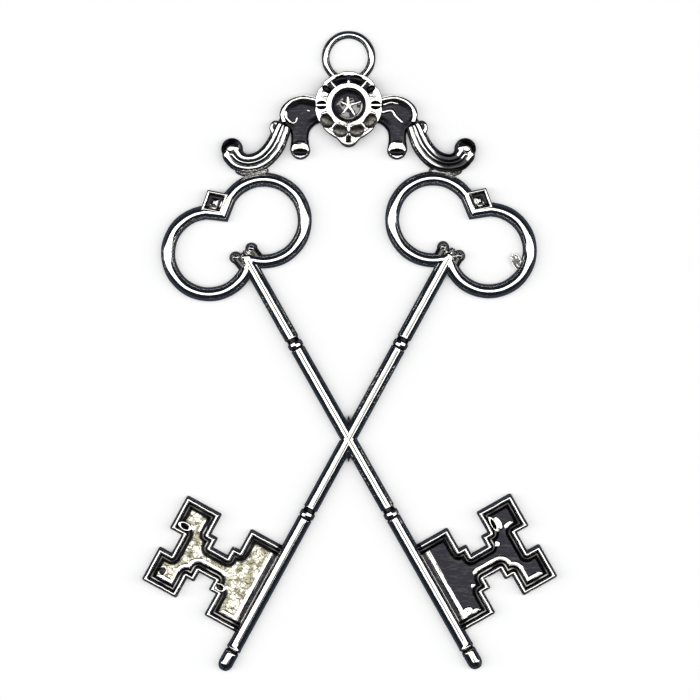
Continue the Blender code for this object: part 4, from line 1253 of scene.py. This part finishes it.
def turned_relief(name, shares, turns, radius_at, height_at, low, metal, marks=None, sharp=40.0):
    """A closed ring round the rosette's middle: rows at shares of the way from bore to edge."""
    turn_row = np.linspace(0.0, tau, turns, endpoint=False)
    share_grid, turn_grid = np.meshgrid(shares, turn_row, indexing="ij")
    radius = radius_at(share_grid, turn_grid)
    height = height_at(radius, turn_grid, share_grid)
    rows = np.stack([ROSETTE_MIDDLE[0] + radius * np.cos(turn_grid), ROSETTE_MIDDLE[1] + radius * np.sin(turn_grid),
                     height], axis=-1)
    back = rows[[-1, 0]]
    back[..., 2] = low
    count = len(shares) + 2
    faces = []
    for i in range(count):
        upper, lower = i * turns, (i + 1) % count * turns
        faces += [(upper + j, lower + j, lower + (j + 1) % turns, upper + (j + 1) % turns) for j in range(turns)]
    piece = solid_from(name, np.concatenate([rows, back]).reshape(-1, 3), faces, metal, sharp)
    for label, field in (marks or {}).items():
        values = field(radius, turn_grid)
        write_marks(piece, {label: np.concatenate([values, values[[-1, 0]]]).ravel()})
    return piece


def turn_from(turn, other):
    """The turn between two directions, from minus half to half a circle."""
    return (turn - other + pi) % tau - pi


def rosette_edge(turn):
    """Outline radius of the rosette: ten shallow notches and the drawn point below."""
    notch = np.maximum(0.0, np.cos(PETALS * turn)) ** 1.5
    return ROSETTE_RADIUS * (1.0 - 0.03 * notch) + ROSETTE_TIP * np.exp(-(turn_from(turn, TIP_TURN) / 0.3) ** 2)


def rosette_radius(share, turn):
    """Rows run from the bore to the outline."""
    return ROSETTE_BORE + share * (rosette_edge(turn) - ROSETTE_BORE)


# Pits by petal, from the right and to the left round: half width, half length, middle, depth
SIDE_PIT, SMALL_PIT = (0.56, 0.66, 3.38, 0.5), (0.42, 0.62, 3.38, 0.5)
UPPER_PIT, LOWER_PIT = (1.0, 0.5, 3.36, 0.5), (1.0, 0.78, 3.4, 0.4)
PETAL_PITS = (SIDE_PIT, SMALL_PIT, UPPER_PIT, UPPER_PIT, SMALL_PIT, SIDE_PIT) + 4 * (LOWER_PIT,)


def petal_pits(radius, turn):
    """How deep the pits are: one in the middle of each petal, those at the sides split by a thin wall."""
    total = np.zeros(radius.shape)
    for petal, pit in enumerate(PETAL_PITS):
        wide, long, middle, deep = pit
        sideways = np.abs(turn_from(turn, tau * petal / PETALS)) * radius
        share = np.clip(oval_share(sideways, radius, (0.0, middle, wide, long)), 0.0, 1.0)
        if pit is SIDE_PIT:
            share = share * ease_between(sideways, 0.1, 0.17)
        total = np.maximum(total, deep * share ** 0.55)
    return total


def lower_pits(radius, turn):
    """The four lower pits stay rough and grey."""
    return 0.16 * ease_between(petal_pits(radius, turn), 0.08, 0.2) * (np.sin(turn) < -0.4) * (radius > RECESS_RADIUS)


def rosette_top(radius, turn, share):
    """Height of the front."""
    edge = rosette_edge(turn)
    level = np.interp(radius, (RECESS_RADIUS - 0.06, RECESS_RADIUS + 0.03, 2.2, 2.72, 2.86, LIP_START),
                      (0.41, 0.95, 1.0, 0.975, 0.93, LIP_LEVEL))
    out = np.clip((radius - LIP_START) / np.maximum(edge - LIP_START, 0.1), 0.0, 1.0)
    lip = LIP_LEVEL + 0.028 * np.sin(out * 2.9) - 0.3 * np.clip((out - 0.76) / 0.24, 0.0, 1.0) ** 2
    level = np.where(radius > LIP_START, lip, level)
    ripple = 0.012 * hand_ripple(radius * np.cos(turn), radius * np.sin(turn), 1.0, 61) * (radius > RECESS_RADIUS)
    wedge = 0.3 * np.clip(1.0 - np.abs(turn_from(turn, TIP_TURN) * radius) / 0.42, 0.0, 1.0)
    wedge = wedge * ease_between(radius, 3.8, 4.0) * (1.0 - ease_between(radius, 4.45, 4.7))
    return np.minimum(ROSETTE_LOW + ROSETTE_THICK * level - petal_pits(radius, turn) - wedge + ripple,
                      ROSETTE_TOP_LIMIT)


def rosette_film_and_shade(radius, turn):
    """Dull film and painted shade in the pits, in the sunk middle and on the wedge of the point."""
    wedge = (np.abs(turn_from(turn, TIP_TURN) * radius) < 0.3) * (radius > 3.85) * (radius < 4.55)
    return np.maximum(np.maximum(ease_between(petal_pits(radius, turn), 0.05, 0.2), radius < RECESS_RADIUS), wedge)


rosette_rows = np.concatenate([np.linspace(0.0, 0.36, 8), np.linspace(0.365, 0.42, 10), np.linspace(0.43, 1.0, 60)])
rosette = turned_relief("rosette_body", rosette_rows, 540, rosette_radius, rosette_top, ROSETTE_LOW, rosette_plate,
                        {"film_and_shade_share": rosette_film_and_shade, "unpolished": lower_pits})
take_place(rosette, "rosette")

# %% [markdown]
# Ten rays stand between the petals. One ray is modelled once, in wax terms a small wedge with a
# round back, and a Geometry Nodes tree repeats it round the middle. The tree takes the number of
# rays, the distance from the middle, the turn of the first one, and small changes of length.

# %% Rays round the rosette
around_tree, given = new_tree("around_centre", {
    "Form": "Geometry", "Count": "Int", "Distance": "Float", "First": "Float", "Least": "Float", "Seed": "Int",
    "Metal": "Material"}, {"Forms": "Geometry"}, "GeometryNodeTree")
circle = add_node(around_tree, "GeometryNodeMeshCircle", {"Vertices": given["Count"], "Radius": given["Distance"]})[0]
share = arithmetic(around_tree, "DIVIDE", add_node(around_tree, "GeometryNodeInputIndex")[0], given["Count"])
turn = add_node(around_tree, "ShaderNodeCombineXYZ", {"Z": arithmetic(around_tree, "MULTIPLY", share, tau)})[0]
length = add_node(around_tree, "FunctionNodeRandomValue", {
    "Min": given["Least"], "Max": 1.0, "Seed": given["Seed"]}, data_type="FLOAT")["Value"]
size = add_node(around_tree, "ShaderNodeCombineXYZ", {"X": length, "Y": 1.0, "Z": 1.0})[0]
forms = add_node(around_tree, "GeometryNodeInstanceOnPoints", {
    "Points": circle, "Instance": given["Form"], "Rotation": turn, "Scale": size})[0]
first = add_node(around_tree, "ShaderNodeCombineXYZ", {"Z": given["First"]})[0]
turned = add_node(around_tree, "GeometryNodeTransform", {"Geometry": forms, "Rotation": first})[0]
real = add_node(around_tree, "GeometryNodeRealizeInstances", {"Geometry": turned})[0]
plated = add_node(around_tree, "GeometryNodeSetMaterial", {"Geometry": real, "Material": given["Metal"]})[0]
add_node(around_tree, "NodeGroupOutput", {"Forms": plated})

RAY_START, SHORTEST_RAY = 2.45, 0.7
RAY_LONG, RAY_HALF, RAY_HIGH, RAY_SINK, RAY_LEAN, RAY_POINTS = 1.45, 0.24, 2.58, 0.6, 0.06, 9
# Share of the length and share of the width there
RAY_STATIONS = ((0.0, 0.25), (0.12, 0.8), (0.3, 1.0), (0.6, 0.85), (0.85, 0.55), (1.0, 0.15))


def ray_mesh():
    """One ray along x: a ridge with a round back that narrows and leans outward."""
    rows, faces = [], []
    for share, size in RAY_STATIONS:
        top = RAY_HIGH - RAY_LEAN * share * RAY_LONG
        for k in range(RAY_POINTS):
            turn = pi * k / (RAY_POINTS - 1)
            height = top + 0.11 * (size - 1.0) - 0.16 * (1.0 - sin(turn))
            rows.append((share * RAY_LONG, RAY_HALF * size * cos(turn), height))
        rows += [(share * RAY_LONG, across * RAY_HALF * size, top - RAY_SINK) for across in (-1, 1)]
    loop, last = RAY_POINTS + 2, len(rows) - RAY_POINTS - 2
    for start in range(0, last, loop):
        faces += [(start + k, start + (k + 1) % loop, start + loop + (k + 1) % loop, start + loop + k)
                  for k in range(loop)]
    faces += [tuple(range(loop)), tuple(reversed(range(last, last + loop)))]
    mesh = bpy.data.meshes.new("ray")
    mesh.from_pydata([(x * MM, y * MM, z * MM) for x, y, z in rows], [], faces)
    return mesh


ray_ring = run_tree("rays_of_the_rosette", around_tree, ray_mesh(), {
    "Count": PETALS, "Distance": RAY_START * MM, "First": pi / PETALS, "Least": SHORTEST_RAY, "Seed": 5,
    "Metal": rosette_plate})
ray_ring.transform(Matrix.Translation(in_metres(*ROSETTE_MIDDLE, 0.0)))
tidy_mesh(ray_ring, 40.0)
take_place(new_object("rays_of_the_rosette", ray_ring), "rosette")

# %% [markdown]
# ## Stud
# The stud in the middle is dark. Its face has a thin raised ring, a five-armed star that was struck a
# little unevenly, and grey wedges between the arms. Its tail goes through the rosette into the seat.

# %% Stud and seat
STUD_RADIUS, STUD_LOW, STUD_TOP = 1.95, 1.9, 2.12
TAIL_RADIUS, TAIL_TOP = 0.6, 2.0
# Direction in degrees and length of each arm of the star
STAR_ARMS = ((95, 1.0), (16, 1.45), (-57, 1.6), (-126, 1.1), (156, 1.0))
BOSS_RADIUS, BOSS_HEIGHT = 0.34, 0.2


def stud_star(x, y):
    """Height of the star above the disc: five thin arms and a small boss."""
    share = 1.0 - (np.hypot(x, y) / BOSS_RADIUS) ** 2
    total = np.where(share > 0.0, BOSS_HEIGHT * np.sqrt(np.maximum(share, 0.0)), FAR_BELOW)
    for angle, length in STAR_ARMS:
        tip = (length * cos(radians(angle)), length * sin(radians(angle)))
        away, along = nearest_on_path(x, y, [(0.0, 0.0), tip])
        total = soft_max(total, pillow(away, 0.24 - 0.08 * along, 0.26, 0.05, 0.0), 0.02)
    return np.maximum(total, 0.0)


def stud_face(x, y):
    """Disc, ring line, star, and shallow wedges between the arms."""
    x, y = x - ROSETTE_MIDDLE[0], y - ROSETTE_MIDDLE[1]
    radius = np.hypot(x, y)
    ring_line = 0.09 * np.exp(-((radius - 1.62) / 0.09) ** 2)
    wedges = 0.045 * broken_facets(x, y, 0.75, 71) * (radius < 1.5)
    edge = 0.12 * ease_between(radius, 1.78, 1.95)
    return STUD_TOP + stud_star(x, y) + ring_line + wedges - edge


def stud_film_and_shade(x, y):
    """Dull film and painted shade over all but the star, the lower right part of the ring line and some of the wedges.
    """
    x, y = x - ROSETTE_MIDDLE[0], y - ROSETTE_MIDDLE[1]
    turn = np.arctan2(y, x)
    ring_line = np.exp(-((np.hypot(x, y) - 1.62) / 0.1) ** 2) * ease_between(-np.sin(turn - 0.5), 0.2, 0.7)
    wedges = 0.3 * (broken_facets(x, y, 0.75, 71) > 0.12) * (np.hypot(x, y) < 1.5)
    return 1.0 - np.maximum(np.maximum(ease_between(stud_star(x, y), 0.03, 0.12), ring_line), wedges)


def stud_inside(x, y):
    """Distance inside the stud's round edge."""
    return STUD_RADIUS - np.hypot(x - ROSETTE_MIDDLE[0], y - ROSETTE_MIDDLE[1])


stud = cast_relief("stud_head", stud_inside, stud_face, square_box(ROSETTE_MIDDLE, 2.0), 0.04, stud_plate,
                   low=STUD_LOW, marks={"film_and_shade_share": stud_film_and_shade}, sharp=40.0)
take_place(stud, "rosette_stud")
tail = dome_mesh("stud_tail", ROSETTE_MIDDLE, TAIL_RADIUS, TAIL_TOP, stud_plate, levels=12, filed=0.03)
take_place(tail, "rosette_stud")

SEAT_BORE, SEAT_RADIUS, SEAT_TOP = 0.75, 3.4, 1.0
seat = turned_relief("seat_of_the_rosette", np.linspace(0.0, 1.0, 24), 120,
                     lambda share, turn: SEAT_BORE + share * (SEAT_RADIUS - SEAT_BORE),
                     lambda radius, turn, share: SEAT_TOP - 0.12 * ease_between(radius, SEAT_RADIUS - 0.3, SEAT_RADIUS)
                     + 0.006 * hand_ripple(radius * np.cos(turn), radius * np.sin(turn), 0.9, 81) - 0.01,
                     0.0, bright_plate)
take_place(seat, "crossed_keys_frame")
